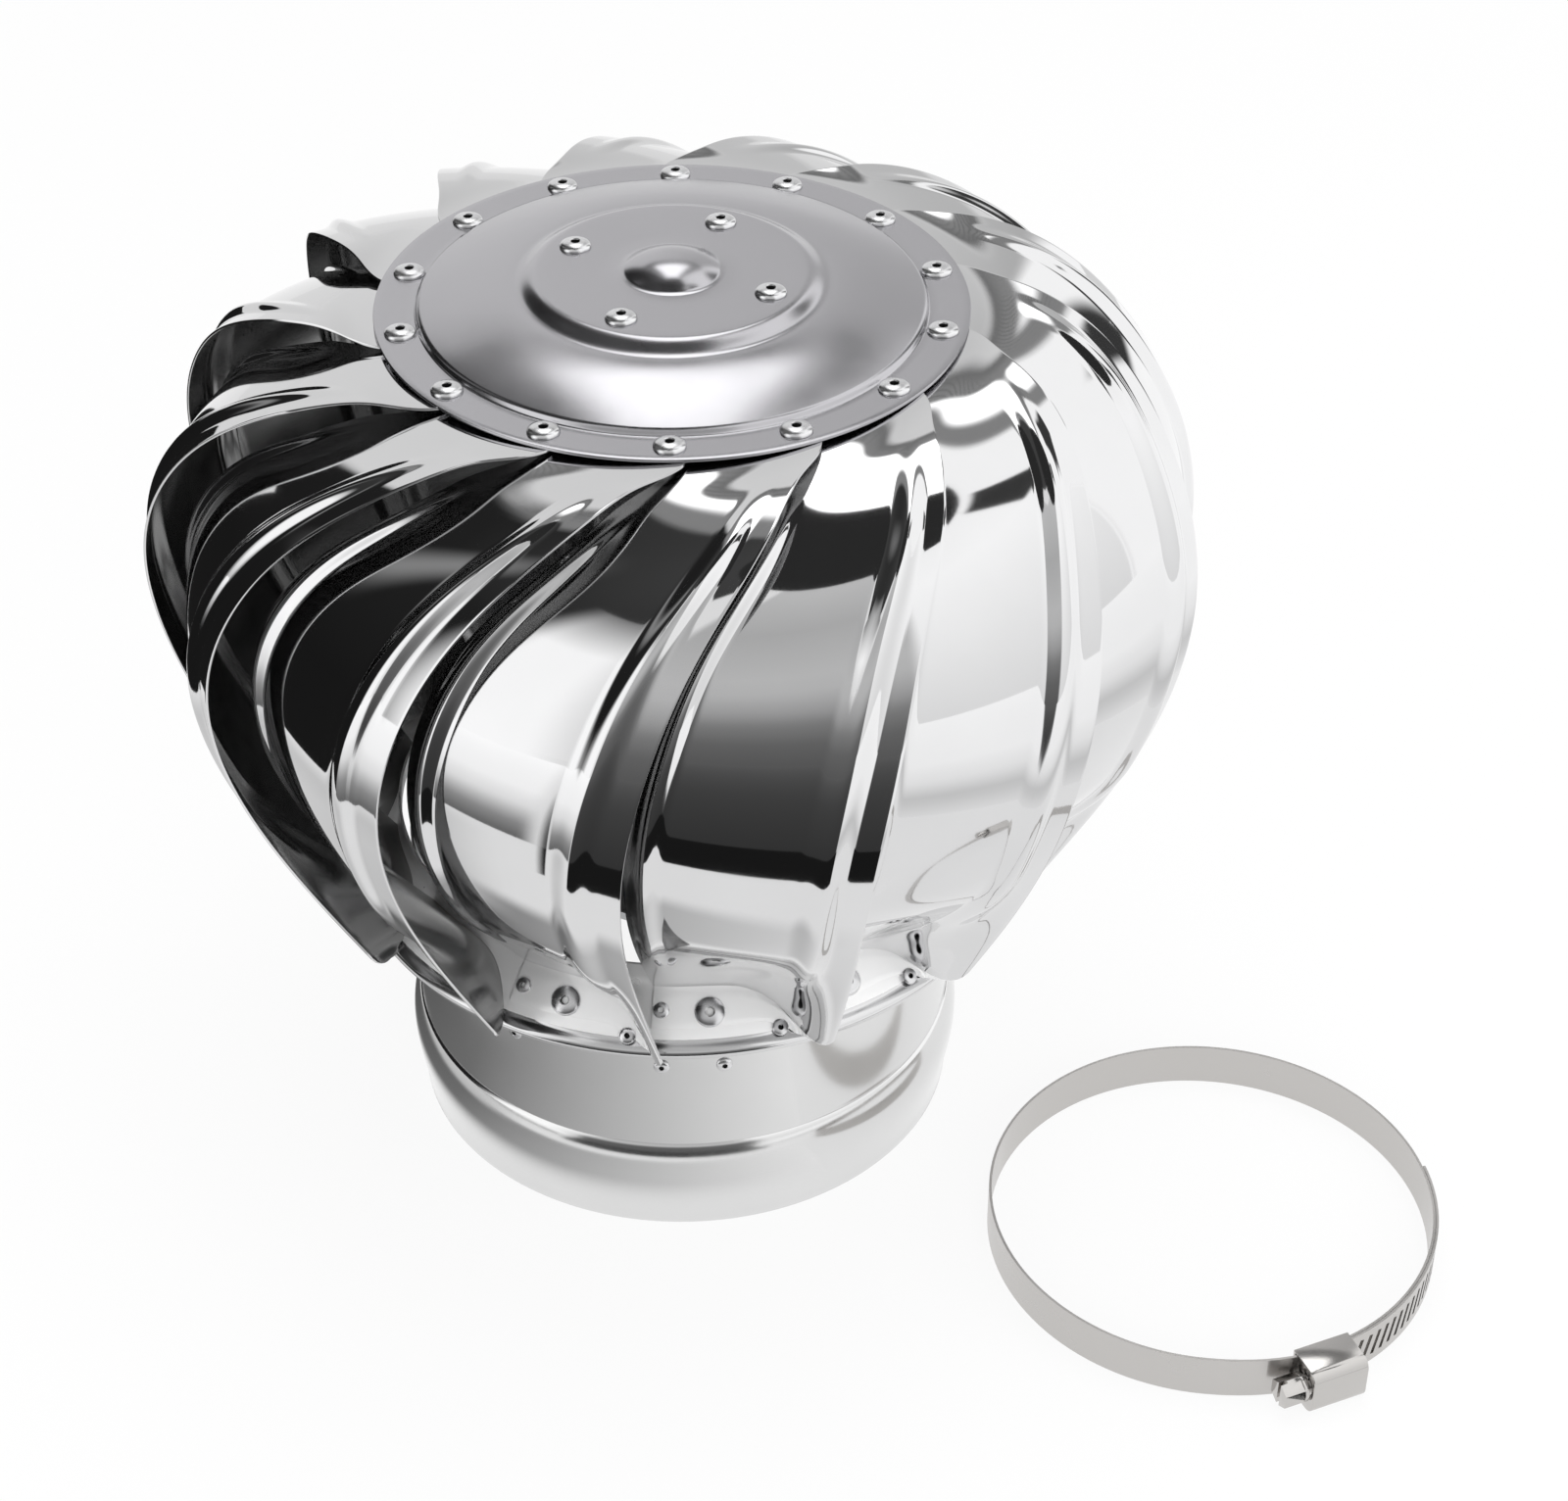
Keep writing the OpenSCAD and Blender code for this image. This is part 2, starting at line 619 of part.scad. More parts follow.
module clamp_band() {
    start = -housing_arc * 0.2;
    slot_n = floor(tail_arc * PI / 180 * clamp_r / slot_pitch) - 1;
    color(satin) clamp_place() difference() {
        union() {
            clamp_arc(band_in, start, 360 - ramp_arc);
            clamp_ramp();
            clamp_arc(tail_in, 0, tail_arc);
        }
        for (i = [0:slot_n]) rotate([0, 0, (i + 0.4) * slot_pitch / clamp_r * 180 / PI])
            translate([0, -tail_in - band_t / 2, 0]) rotate([0, slot_lean, 0])
                cube([slot_w, band_t * 1.6, slot_l], center = true);
    }
}

module clamp_housing() {
    half = housing_w / 2;
    outer = worm_z + worm_d / 2 + 0.5 + housing_wall;
    corner = 3.2;
    throat = worm_d / 2 + 2 * seat;
    // The saddle's floor lies under the band, which curves away from it in the middle
    floor_y = sqrt(band_in * band_in - housing_l * housing_l / 4) - seat;
    color(satin) clamp_place() translate([-housing_l / 2, 0, 0]) rotate([0, 90, 0])
        linear_extrude(housing_l) difference() {
            hull() {
                translate([-half, -floor_y]) square([housing_w, housing_wall]);
                for (side = [-1, 1]) translate([side * (half - corner), -outer + corner]) circle(r = corner, $fn = 32);
            }
            translate([-band_w / 2 - seat, -clamp_r - seat]) square([band_w + 2 * seat, clamp_r + seat - floor_y]);
            translate([0, -worm_z]) circle(r = throat, $fn = 48);
            translate([-throat, -worm_z]) square([2 * throat, worm_z - clamp_r + seat]);
        }
}

module clamp_screw() {
    head_l = 7;
    head_af = 7;
    thread_n = 5;
    shaft_len = housing_l + 1;
    groove = 0.8;
    color(zinc) clamp_place() translate([0, -worm_z, 0]) rotate([0, 90, 0]) difference() {
        union() {
            translate([0, 0, -shaft_len / 2 - head_l]) cylinder(d = head_af / cos(30), h = head_l, $fn = 6);
            translate([0, 0, -shaft_len / 2 - 1.2]) cylinder(d = head_af + 1, h = 1.1);
            rotate_extrude() polygon(concat([[0, -shaft_len / 2 - 1]],
                [[worm_d / 2 - groove, -shaft_len / 2 - 1]],
                [for (i = [0:thread_n - 1], step = [0, 0.35, 0.65, 1])
                    [worm_d / 2 - (step == 0 || step == 1 ? groove : 0),
                     lerp(-thread_n * slot_pitch / 2, thread_n * slot_pitch / 2, (i + step * 0.9) / thread_n)]],
                [[worm_d / 2 - groove, shaft_len / 2 + 0.6], [0, shaft_len / 2 + 0.6]]));
        }
        translate([-head_af, -0.6, -shaft_len / 2 - head_l - 1]) cube([2 * head_af, 1.2, 3]);
    }
}

flue_collar();
shaft_bracket();
collar_rivets();
shaft();
shaft_nuts();
shaft_washers();
inner_spacer();
inner_race(upper_bottom);  // upper_inner_race
inner_race(lower_bottom);  // lower_inner_race
top_cap();
blade(1);  // blade_01
blade(2);  // blade_02
blade(3);  // blade_03
blade(4);  // blade_04
blade(5);  // blade_05
blade(6);  // blade_06
blade(7);  // blade_07
blade(8);  // blade_08
blade(9);  // blade_09
blade(10);  // blade_10
blade(11);  // blade_11
blade(12);  // blade_12
blade(13);  // blade_13
blade(14);  // blade_14
cap_rivets();
hub_rivets();
bearing_hub();
outer_spacer();
outer_race(upper_bottom);  // upper_outer_race
outer_race(lower_bottom);  // lower_outer_race
hub_circlip();
running_ring();
ring_rivets();
foot_eyelets();
balls(upper_bottom);  // upper_balls
cage(upper_bottom);  // upper_cage
balls(lower_bottom);  // lower_balls
cage(lower_bottom);  // lower_cage
clamp_band();
clamp_housing();
clamp_screw();
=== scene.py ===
"""A wind-driven chimney cap with fourteen polished blades, and its worm-drive hose clamp."""
import math

import bmesh
import bpy
from bpy.props import FloatProperty, FloatVectorProperty, IntProperty, PointerProperty
from mathutils import Matrix, Vector


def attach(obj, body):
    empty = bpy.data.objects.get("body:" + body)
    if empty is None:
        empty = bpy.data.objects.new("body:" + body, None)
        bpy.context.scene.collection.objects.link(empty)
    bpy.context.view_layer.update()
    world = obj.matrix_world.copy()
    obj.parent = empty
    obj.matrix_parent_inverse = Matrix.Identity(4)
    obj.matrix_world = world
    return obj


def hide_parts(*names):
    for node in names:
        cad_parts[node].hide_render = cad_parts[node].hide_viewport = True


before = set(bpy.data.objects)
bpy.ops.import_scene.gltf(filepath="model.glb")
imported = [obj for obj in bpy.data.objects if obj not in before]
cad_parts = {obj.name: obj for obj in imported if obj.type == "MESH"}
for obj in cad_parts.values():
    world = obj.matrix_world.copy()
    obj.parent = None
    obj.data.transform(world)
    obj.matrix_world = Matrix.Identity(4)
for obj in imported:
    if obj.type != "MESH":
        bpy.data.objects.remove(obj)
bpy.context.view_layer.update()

bl_info = {
    "name": "Chimney Cap",
    "version": (1, 0, 0),
    "blender": (4, 5, 0),
    "location": "View3D > Sidebar > Chimney Cap",
    "description": "Builds a wind-driven chimney cap and its worm-drive hose clamp",
    "category": "Add Mesh",
}

MM = 0.001
BLADES = 14
PITCH = math.tau / BLADES

# Sizes are in millimetres and turns in degrees from the front, unless a line says otherwise

# The cap plate: a flange, a step, a dome, a raised disc behind a lip, and a dimple
CAP_R = 74.0
CAP_Z = 243.6
CAP_T = 0.8
STEP_R = 63.0
STEP_RISE = 1.35
LIP_R = 39.5
LIP_W = 6.5
LIP_RISE = 2.4
DISC_RISE = 9.0
DIMPLE_R = 12.5
DIMPLE_RISE = 3.8
RIM_RIVET_R = 68.0
RIM_RIVET_TURN = -1.1
HUB_RIVETS = 4
HUB_RIVET_R = 27.0
HUB_RIVET_TURN = -27.5

# The ring at the blades' feet: its cone leans at 45 degrees, so radius and height have one sum
RING_R = 91.0
RING_Z = 75.0
RING_T = 0.8
RING_BORE_R = 77.5
ROLL_R = 1.8
CONE_SUM = RING_R - ROLL_R + RING_Z + ROLL_R * math.sqrt(2)
GROOVE = 0.45
RING_RIVET_R = 83.5
RING_RIVET_TURN = 4.2
CORNER_EYELET_R = 83.0
CORNER_EYELET_TURN = -30.0
TIP_EYELET_R = 88.0
TIP_EYELET_TURN = -9.8
FOOT_SHEETS = 0.75

# The flue collar: its bead has a slow crown, a tight shoulder above it and a taper below
COLLAR_R = 75.0
COLLAR_H = 84.0
COLLAR_T = 0.8
COLLAR_FLARE = 0.5
BEAD_Z = 19.0
BEAD_OUT = 2.7
CROWN_R = 22.0
CROWN_ARC = 24
SHOULDER_R = 2.4
SHOULDER_ARC = 56
BRACKET_FEET = 3
BRACKET_Z = 57.0
BRACKET_TURN = 1.3
EYELET_SPREAD = 6.35
SEAM_TURN = -37.3

# The rivets' shanks, and how much of a sheet's thickness its rounded cut edge takes
SHANK = 3.2
SMALL_SHANK = 2.0
EDGE_ROUND = 0.2


def lerp(a, b, f):
    """The value at share f of the way from a to b."""
    return a + (b - a) * f


def smooth(f):
    """Eases from 0 to 1 as f does, and stays there past them."""
    f = min(max(f, 0.0), 1.0)
    return f * f * (3 - 2 * f)


def shares(count, first=0):
    """Even shares from 0 to 1, or from a later one of them."""
    return [i / count for i in range(first, count + 1)]


def arc(middle, radius, turns):
    """Points on an arc about a middle, as pairs of radius and height, turned up from level."""
    r, z = middle
    return [(r + radius * math.cos(a), z + radius * math.sin(a)) for a in map(math.radians, turns)]


def turned(r, z, turn):
    """A point in metres at a radius and a height, turned from the front by an angle in radians."""
    return Vector((r * math.sin(turn), -r * math.cos(turn), z)) * MM


# ---------------------------------------------------------------------------
# Pieces


def finish_piece(name, bm, materials, body, nodes, sharp=32):
    """Turns a bmesh into a piece that rides on a body and stands for its CAD nodes."""
    limit = math.radians(sharp)
    for face in bm.faces:
        face.smooth = True
    for edge in bm.edges:
        edge.smooth = not edge.is_manifold or edge.calc_face_angle(0) < limit
    mesh = bpy.data.meshes.new(name)
    bm.to_mesh(mesh)
    bm.free()
    for material in materials:
        mesh.materials.append(material)
    piece = bpy.data.objects.new(name, mesh)
    bpy.context.scene.collection.objects.link(piece)
    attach(piece, body)
    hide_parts(*nodes)
    return piece


def lathe(points, segments):
    """A smooth shell of revolution about the rotor's axis, from pairs of radius and height."""
    bm = bmesh.new()
    verts = [bm.verts.new((0, -r * MM, z * MM)) for r, z in points]
    edges = [bm.edges.new(pair) for pair in zip(verts, verts[1:])]
    bmesh.ops.spin(bm, geom=verts + edges, cent=(0, 0, 0), axis=(0, 0, 1), angle=math.tau,
                   steps=segments, use_merge=True)
    bmesh.ops.remove_doubles(bm, verts=bm.verts, dist=2e-6)
    bmesh.ops.recalc_face_normals(bm, faces=bm.faces)
    return bm


def face_outwards(bm, probe):
    """Flips the shell if the face nearest to a point looks away from it."""
    face = min(bm.faces, key=lambda f: (f.calc_center_median() - probe).length)
    if face.normal.dot(probe - face.calc_center_median()) < 0:
        bmesh.ops.reverse_faces(bm, faces=bm.faces)


def sheet_of(bm, thickness, inner=None):
    """Gives an open shell its wall on the inner side, which may have a material of its own, and
    rounds the wall's cut edges."""
    outer = set(bm.faces)
    bmesh.ops.solidify(bm, geom=bm.faces, thickness=thickness * MM)
    if inner is not None:
        skin = {vert for face in outer for vert in face.verts}
        for face in bm.faces:
            if face not in outer and not any(vert in skin for vert in face.verts):
                face.material_index = inner
    bm.normal_update()
    round_edges(bm, 70, thickness * EDGE_ROUND, 2)


def round_edges(bm, sharp, width, segments):
    """Rounds the edges that turn by more than an angle in degrees."""
    edges = [e for e in bm.edges if e.is_manifold and e.calc_face_angle(0) > math.radians(sharp)]
    bmesh.ops.bevel(bm, geom=edges, offset=width * MM, offset_type="OFFSET", segments=segments,
                    profile=0.5, affect="EDGES", material=-1, clamp_overlap=True)


def rivet_mesh(head, shank, grip, segments=28):
    """A blind rivet with its head at z = 0 and a hole that is near black inside as painted shade,
    its tail below the sheets.
    """
    r, rise, hole = head / 2, head * 0.2, shank * 0.34
    points = [(0, -0.55 * rise), (hole * 0.8, -0.55 * rise), (hole, -0.45 * rise),
              (hole, 0.8 * rise), (hole * 1.06, 0.92 * rise), (hole * 1.2, 0.985 * rise)]
    points += [(r * (0.16 + 0.84 * math.cos(a)), rise * math.sin(a) ** 0.8)
               for a in map(math.radians, (72, 60, 48, 37, 27, 18, 10, 5))]
    points += [(r, 0.02), (r * 0.985, 0.0), (shank / 2, 0.0), (shank / 2, -grip),
               (shank * 0.62, -grip - 0.05), (shank * 0.65, -grip - shank * 0.35),
               (shank * 0.58, -grip - shank * 0.7), (0, -grip - shank)]
    bm = lathe(points, segments)
    # The faces inside the hole take the second, near black material: painted shade in the recess
    for face in bm.faces:
        middle = face.calc_center_median()
        if middle.xy.length < hole * 1.02 * MM and -rise * MM < middle.z < 0.85 * rise * MM:
            face.material_index = 1
    return bm


def copies(bm_part, places):
    """One bmesh that holds a copy of a part at each place."""
    mesh = bpy.data.meshes.new("part")
    bm_part.to_mesh(mesh)
    bm_part.free()
    bm = bmesh.new()
    for place in places:
        before = len(bm.verts)
        bm.from_mesh(mesh)
        bm.verts.ensure_lookup_table()
        bmesh.ops.transform(bm, matrix=place, verts=bm.verts[before:])
    bpy.data.meshes.remove(mesh)
    return bm


def around(n, turn, matrix):
    """Places of one matrix repeated about the rotor's axis."""
    start = math.radians(turn)
    return [Matrix.Rotation(start + math.tau * i / n, 4, "Z") @ matrix for i in range(n)]


def on_feet(r):
    """Lays a rivet on the blades' feet at the front, over the ring's cone."""
    at = Matrix.Translation(Vector((0, -r, CONE_SUM - r)) * MM)
    lean = Matrix.Rotation(math.radians(45), 4, "X")
    return at @ lean @ Matrix.Translation((0, 0, FOOT_SHEETS * MM))


# ---------------------------------------------------------------------------
# Materials


def group_socket(group, name, direction, kind, default=None):
    """Adds a named input or output to a node group."""
    socket = group.interface.new_socket(name=name, in_out=direction, socket_type=kind)
    if default is not None:
        socket.default_value = default


def add(nodes, kind, **values):
    """A node with properties and unlinked inputs set."""
    node = nodes.new(kind)
    for key, value in values.items():
        if hasattr(node, key):
            setattr(node, key, value)
        else:
            node.inputs[key.replace("_", " ")].default_value = value
    return node


def rolled_sheet_group():
    """Slow waves of hand-formed sheet and a fine grain as normals, and a cloud that varies the
    roughness and the colour's tone.
    """
    group = bpy.data.node_groups.new("Rolled sheet", "ShaderNodeTree")
    group_socket(group, "Wave", "INPUT", "NodeSocketFloat", 0.3)
    group_socket(group, "Grain", "INPUT", "NodeSocketFloat", 0.1)
    group_socket(group, "Grain scale", "INPUT", "NodeSocketFloat", 900.0)
    group_socket(group, "Roughness", "INPUT", "NodeSocketFloat", 0.1)
    group_socket(group, "Colour", "INPUT", "NodeSocketColor", (0.8, 0.8, 0.8, 1))
    group_socket(group, "Colour", "OUTPUT", "NodeSocketColor")
    group_socket(group, "Roughness", "OUTPUT", "NodeSocketFloat")
    group_socket(group, "Normal", "OUTPUT", "NodeSocketVector")
    nodes, links = group.nodes, group.links
    given = nodes.new("NodeGroupInput")
    out = nodes.new("NodeGroupOutput")
    place = nodes.new("ShaderNodeTexCoord")
    wave = add(nodes, "ShaderNodeTexNoise", Scale=22.0, Detail=1.0, Roughness=0.4)
    grain = add(nodes, "ShaderNodeTexNoise", Detail=3.0, Roughness=0.6)
    cloud = add(nodes, "ShaderNodeTexNoise", Scale=38.0, Detail=4.0, Roughness=0.55)
    links.new(place.outputs["Object"], wave.inputs["Vector"])
    links.new(place.outputs["Object"], grain.inputs["Vector"])
    links.new(place.outputs["Object"], cloud.inputs["Vector"])
    links.new(given.outputs["Grain scale"], grain.inputs["Scale"])
    slow = add(nodes, "ShaderNodeBump", Distance=0.001)
    fine = add(nodes, "ShaderNodeBump", Distance=0.00002)
    links.new(given.outputs["Wave"], slow.inputs["Strength"])
    links.new(wave.outputs["Fac"], slow.inputs["Height"])
    links.new(given.outputs["Grain"], fine.inputs["Strength"])
    links.new(grain.outputs["Fac"], fine.inputs["Height"])
    links.new(slow.outputs["Normal"], fine.inputs["Normal"])
    links.new(fine.outputs["Normal"], out.inputs["Normal"])
    span = add(nodes, "ShaderNodeMapRange", From_Min=0.3, From_Max=0.7, To_Min=0.8, To_Max=1.25)
    links.new(cloud.outputs["Fac"], span.inputs["Value"])
    rough = add(nodes, "ShaderNodeMath", operation="MULTIPLY")
    links.new(given.outputs["Roughness"], rough.inputs[0])
    links.new(span.outputs["Result"], rough.inputs[1])
    links.new(rough.outputs["Value"], out.inputs["Roughness"])
    tone = add(nodes, "ShaderNodeMapRange", From_Min=0.3, From_Max=0.7, To_Min=0.97, To_Max=1.0)
    links.new(cloud.outputs["Fac"], tone.inputs["Value"])
    shade = add(nodes, "ShaderNodeMix", data_type="RGBA", blend_type="MULTIPLY")
    shade.inputs["Factor"].default_value = 1.0
    links.new(given.outputs["Colour"], shade.inputs[6])
    links.new(tone.outputs["Result"], shade.inputs[7])
    links.new(shade.outputs[2], out.inputs["Colour"])
    return group


def metal(name, group, colour, roughness, wave, grain, grain_scale=900.0, metallic=1.0):
    """A sheet metal finish from the shared group, with its own roughness, wave and grain."""
    material = bpy.data.materials.new(name)
    material.use_nodes = True
    nodes, links = material.node_tree.nodes, material.node_tree.links
    shader = nodes["Principled BSDF"]
    shader.inputs["Metallic"].default_value = metallic
    sheet = nodes.new("ShaderNodeGroup")
    sheet.node_tree = group
    sheet.inputs["Colour"].default_value = (*colour, 1)
    sheet.inputs["Roughness"].default_value = roughness
    sheet.inputs["Wave"].default_value = wave
    sheet.inputs["Grain"].default_value = grain
    sheet.inputs["Grain scale"].default_value = grain_scale
    links.new(sheet.outputs["Colour"], shader.inputs["Base Color"])
    links.new(sheet.outputs["Roughness"], shader.inputs["Roughness"])
    links.new(sheet.outputs["Normal"], shader.inputs["Normal"])


FINISH_NAMES = {
    "mirror": "Mirror blade sheet",
    "inner": "Inner face of the blades darkened as painted shade",
    "ring": "Polished ring sheet",
    "foot": "Foot sheet paled as painted light",
    "cap": "Satin cap sheet",
    "collar": "Satin collar sheet",
    "rivet": "Rivet aluminium",
    "mandrel": "Rivet hole with painted shade",
    "band": "Rolled band steel",
    "screw": "Turned screw steel",
    "zinc": "Zinc plate",
    "bearing": "Ground bearing steel",
}


def finishes():
    """The metals of the cap and the clamp, made once."""
    if FINISH_NAMES["mirror"] in bpy.data.materials:
        return {key: bpy.data.materials[name] for key, name in FINISH_NAMES.items()}
    colours = bpy.context.scene.chimney_cap_colours
    group = rolled_sheet_group()
    fine = 2500.0
    for key, colour, *values in (
            ("mirror", colours.mirror, colours.mirror_roughness, 0.1, 0.02),
            # The blades' inner faces are darker than the mirror sheet they are cut from: painted
            # shade. Their higher roughness is a finish.
            ("inner", colours.inner, 0.2, 0.05, 0.05),
            ("ring", colours.mirror, 0.13, 0.04, 0.05),
            ("cap", colours.cap, 0.2, 0.03, 0.12),
            ("collar", colours.satin, 0.13, 0.05, 0.12),
            ("rivet", colours.rivet, 0.26, 0.0, 0.15, fine),
            ("mandrel", colours.mandrel, 0.5, 0.0, 0.3, fine),
            ("band", colours.band, 0.3, 0.04, 0.4),
            ("screw", colours.band, 0.12, 0.04, 0.3, fine),
            ("zinc", colours.zinc, 0.34, 0.04, 0.3),
            ("bearing", colours.bearing, 0.18, 0.0, 0.1)):
        metal(FINISH_NAMES[key], group, colour, *values)
    # The blades' feet and the ring's cone take a paler, half diffuse copy of the sheet: painted
    # light. Their satin roughness is a finish.
    metal(FINISH_NAMES["foot"], group, colours.foot, 0.3, 0.04, 0.05, metallic=0.5)
    return finishes()


# ---------------------------------------------------------------------------
# The blades

TAB_R = RIM_RIVET_R - 4
TIP_R = RING_R + 9.2
TIP_Z = RING_Z + 6.5
FOOT_R = RING_BORE_R + 1.2
BLADE_T = 0.6
FOOT_LIFT = BLADE_T / 2 * math.sqrt(2) + 0.1
TOP_Z = CAP_Z - 0.05 - BLADE_T / 2
TUCK_Z = TOP_Z - BLADE_T - 0.15
TUCK = 13.5
LAP = 2.4
FOOT_TURN = -31.7

# The order of a blade's materials: the mirror face, the inner face darkened as painted shade, and
# the foot paled as painted light
OUTER_FACES, INNER_FACES, FOOT_FACES = 0, 1, 2
BLADE_METALS = ("mirror", "inner", "foot")

# Shares of a blade's length: where it starts to settle on its foot, and what the flange counts for
SETTLE = 0.86
FLANGE_SPAN = 0.05

# The foot flange: its width, where across the blade it has narrowed to a sliver, and the sliver
FLANGE_W = 11.0
FLANGE_END = 0.94
SLIVER_W = 0.25

# The ridges: shares of a blade's length where they start and end, and the lengths over which they
# do so, then the middle and half width of each as shares of the blade's width
RIDGE_START, RIDGE_RISE = 0.27, 0.24
RIDGE_END, RIDGE_FALL = 0.97, 0.08
RIDGES = ((0.8, 0.1), (0.085, 0.085))

# A small share of a blade's length, over which its direction is taken
NUDGE = 0.004


def blade_edges(sizes):
    """Stations of the free edge and the tucked edge: radius, height and turn in degrees."""
    ball_r, ball_z = sizes.ball_diameter / 2 / MM, sizes.ball_height / MM
    reach, drop, fall = ball_r - CAP_R, CAP_Z - ball_z, ball_z - TIP_Z
    free = [
        (TAB_R, TOP_Z, 30), (CAP_R + 1, TOP_Z, 28.2), (CAP_R + 0.13 * reach, TOP_Z + 0.3, 21.3),
        (CAP_R + 0.26 * reach, TOP_Z + 0.6, 16.7), (CAP_R + 0.54 * reach, CAP_Z - 0.09 * drop, 9.4),
        (CAP_R + 0.79 * reach, CAP_Z - 0.34 * drop, 1.1),
        (CAP_R + 0.995 * reach, CAP_Z - 0.74 * drop, -3.8),
        (CAP_R + 1.01 * reach, ball_z - 0.157 * fall, -6.6),
        (lerp(TIP_R, ball_r, 0.67), ball_z - 0.547 * fall, -6.3), (TIP_R, TIP_Z, -3.6)]
    free = [Vector(p) for p in free]
    back = LAP + 360 / BLADES
    tucked = [
        Vector((TAB_R, TUCK_Z, 30 - back)), Vector((CAP_R + 1, TUCK_Z - 0.7, 28.2 - back)),
        Vector((CAP_R + 0.13 * reach - 1, TOP_Z - 0.3 * TUCK, -6.9)),
        Vector((CAP_R + 0.26 * reach - 0.2 * TUCK, TOP_Z - 0.56 * TUCK, -11.5)),
        free[4] - Vector((0.5 * TUCK, 0.8 * TUCK, 27.9)),
        free[5] - Vector((0.8 * TUCK, 0.55 * TUCK, 27.1)),
        free[6] - Vector((0.95 * TUCK, 0.2 * TUCK, 26.2)),
        free[7] - Vector((1.03 * TUCK, -0.15 * TUCK, 25.8)),
        free[8] - Vector((0.93 * TUCK, -0.4 * TUCK, 26.7)),
        Vector((FOOT_R, CONE_SUM - FOOT_R + FOOT_LIFT, FOOT_TURN))]
    return relaxed(free), relaxed(tucked)


def relaxed(path, count=121, passes=90):
    """Many stations along a path, evened out so that its reflections run smoothly."""
    points = [along(path, s) for s in shares(count - 1)]
    for _ in range(passes):
        evened = [b * 0.5 + (a + c) * 0.25 for a, b, c in zip(points, points[1:], points[2:])]
        points = [points[0], *evened, points[-1]]
    return points


def along(path, s):
    """A smooth point between the stations of a path."""
    last = len(path) - 1
    x = min(max(s, 0.0), 1.0) * last
    i = min(int(x), last - 1)
    f = x - i
    a, b, c, d = path[max(i - 1, 0)], path[i], path[i + 1], path[min(i + 2, last)]
    bend, twist = 2 * a - 5 * b + 4 * c - d, 3 * b - a - 3 * c + d
    return 0.5 * (2 * b + (c - a) * f + bend * f * f + twist * f ** 3)


def bump(u, middle, half):
    """A rounded hill from 0 to 1 and back, over twice its half width."""
    return math.cos(math.pi / 2 * (u - middle) / half) ** 2 if abs(u - middle) < half else 0.0


def ridge_height(u, s, height):
    """The ridge near the free edge and the fold by the tucked edge, which fade at their ends."""
    fade = smooth((s - RIDGE_START) / RIDGE_RISE) * smooth((RIDGE_END - s) / RIDGE_FALL)
    return height * fade * sum(bump(u, middle, half) for middle, half in RIDGES)


def foot_point(u):
    """The fold between a blade and its foot: it follows the cone, and leaves it for the tip."""
    r = lerp(FOOT_R, TIP_R, u ** 6)
    leave = TIP_Z - CONE_SUM + TIP_R - FOOT_LIFT
    return Vector((r, CONE_SUM - r + FOOT_LIFT + leave * u ** 24, 0))


def blade_point(edges, u, s):
    """A point of the blade's middle: radius, height, turn."""
    free, tucked = along(edges[0], s), along(edges[1], s)
    plain = tucked.lerp(free, u)
    straight = Vector((lerp(FOOT_R, TIP_R, u), lerp(edges[1][-1][1], TIP_Z, u), 0))
    return plain + (foot_point(u) - straight) * smooth((s - SETTLE) / (1 - SETTLE))


def skin_point(edges, u, s, ridge):
    """A point of the blade's outer face; past 1 it runs on as the foot flange down the cone."""
    if s <= 1:
        here = blade_point(edges, u, s)
        run = blade_point(edges, u, min(s + NUDGE, 1)) - blade_point(edges, u, max(s - NUDGE, 0))
        out = Vector((-run[1], run[0])).normalized()
        lift = ridge_height(u, s, ridge) + BLADE_T / 2
        return turned(here[0] + out[0] * lift, here[1] + out[1] * lift, math.radians(here[2]))
    foot = foot_point(u)
    width = max(FLANGE_W * (1 - (u / FLANGE_END) ** 4), 0) + SLIVER_W
    reach = width * (s - 1) / FLANGE_SPAN
    end = blade_point(edges, u, 1) - blade_point(edges, u, 1 - NUDGE)
    tip = smooth((u - FLANGE_END + 0.1) / 0.1)
    down = Vector((1, -1)).normalized().lerp(Vector(end[:2]).normalized(), tip).normalized()
    turn = lerp(edges[1][-1][2], edges[0][-1][2], u)
    return turned(foot[0] + down[0] * reach - down[1] * BLADE_T / 2,
                  foot[1] + down[1] * reach + down[0] * BLADE_T / 2, math.radians(turn))


def blade_mesh(edges, ridge):
    """One blade at the front: a grid drawn over its face and foot, then given its wall."""
    across, down, flange = 84, 120, 6
    bm = bmesh.new()
    bmesh.ops.create_grid(bm, x_segments=across, y_segments=down + flange, size=0.5)
    for face in bm.faces:
        row = (0.5 - face.calc_center_median().y) * (down + flange)
        face.material_index = FOOT_FACES if row > down else OUTER_FACES
    for vert in bm.verts:
        u = vert.co.x + 0.5
        row = round((0.5 - vert.co.y) * (down + flange))
        s = row / down if row <= down else 1 + (row - down) / flange * FLANGE_SPAN
        vert.co = skin_point(edges, u, s, ridge)
    bm.normal_update()
    face_outwards(bm, Vector((0, -0.3, 0.165)))
    sheet_of(bm, BLADE_T, INNER_FACES)
    return bm


# ---------------------------------------------------------------------------
# Settings


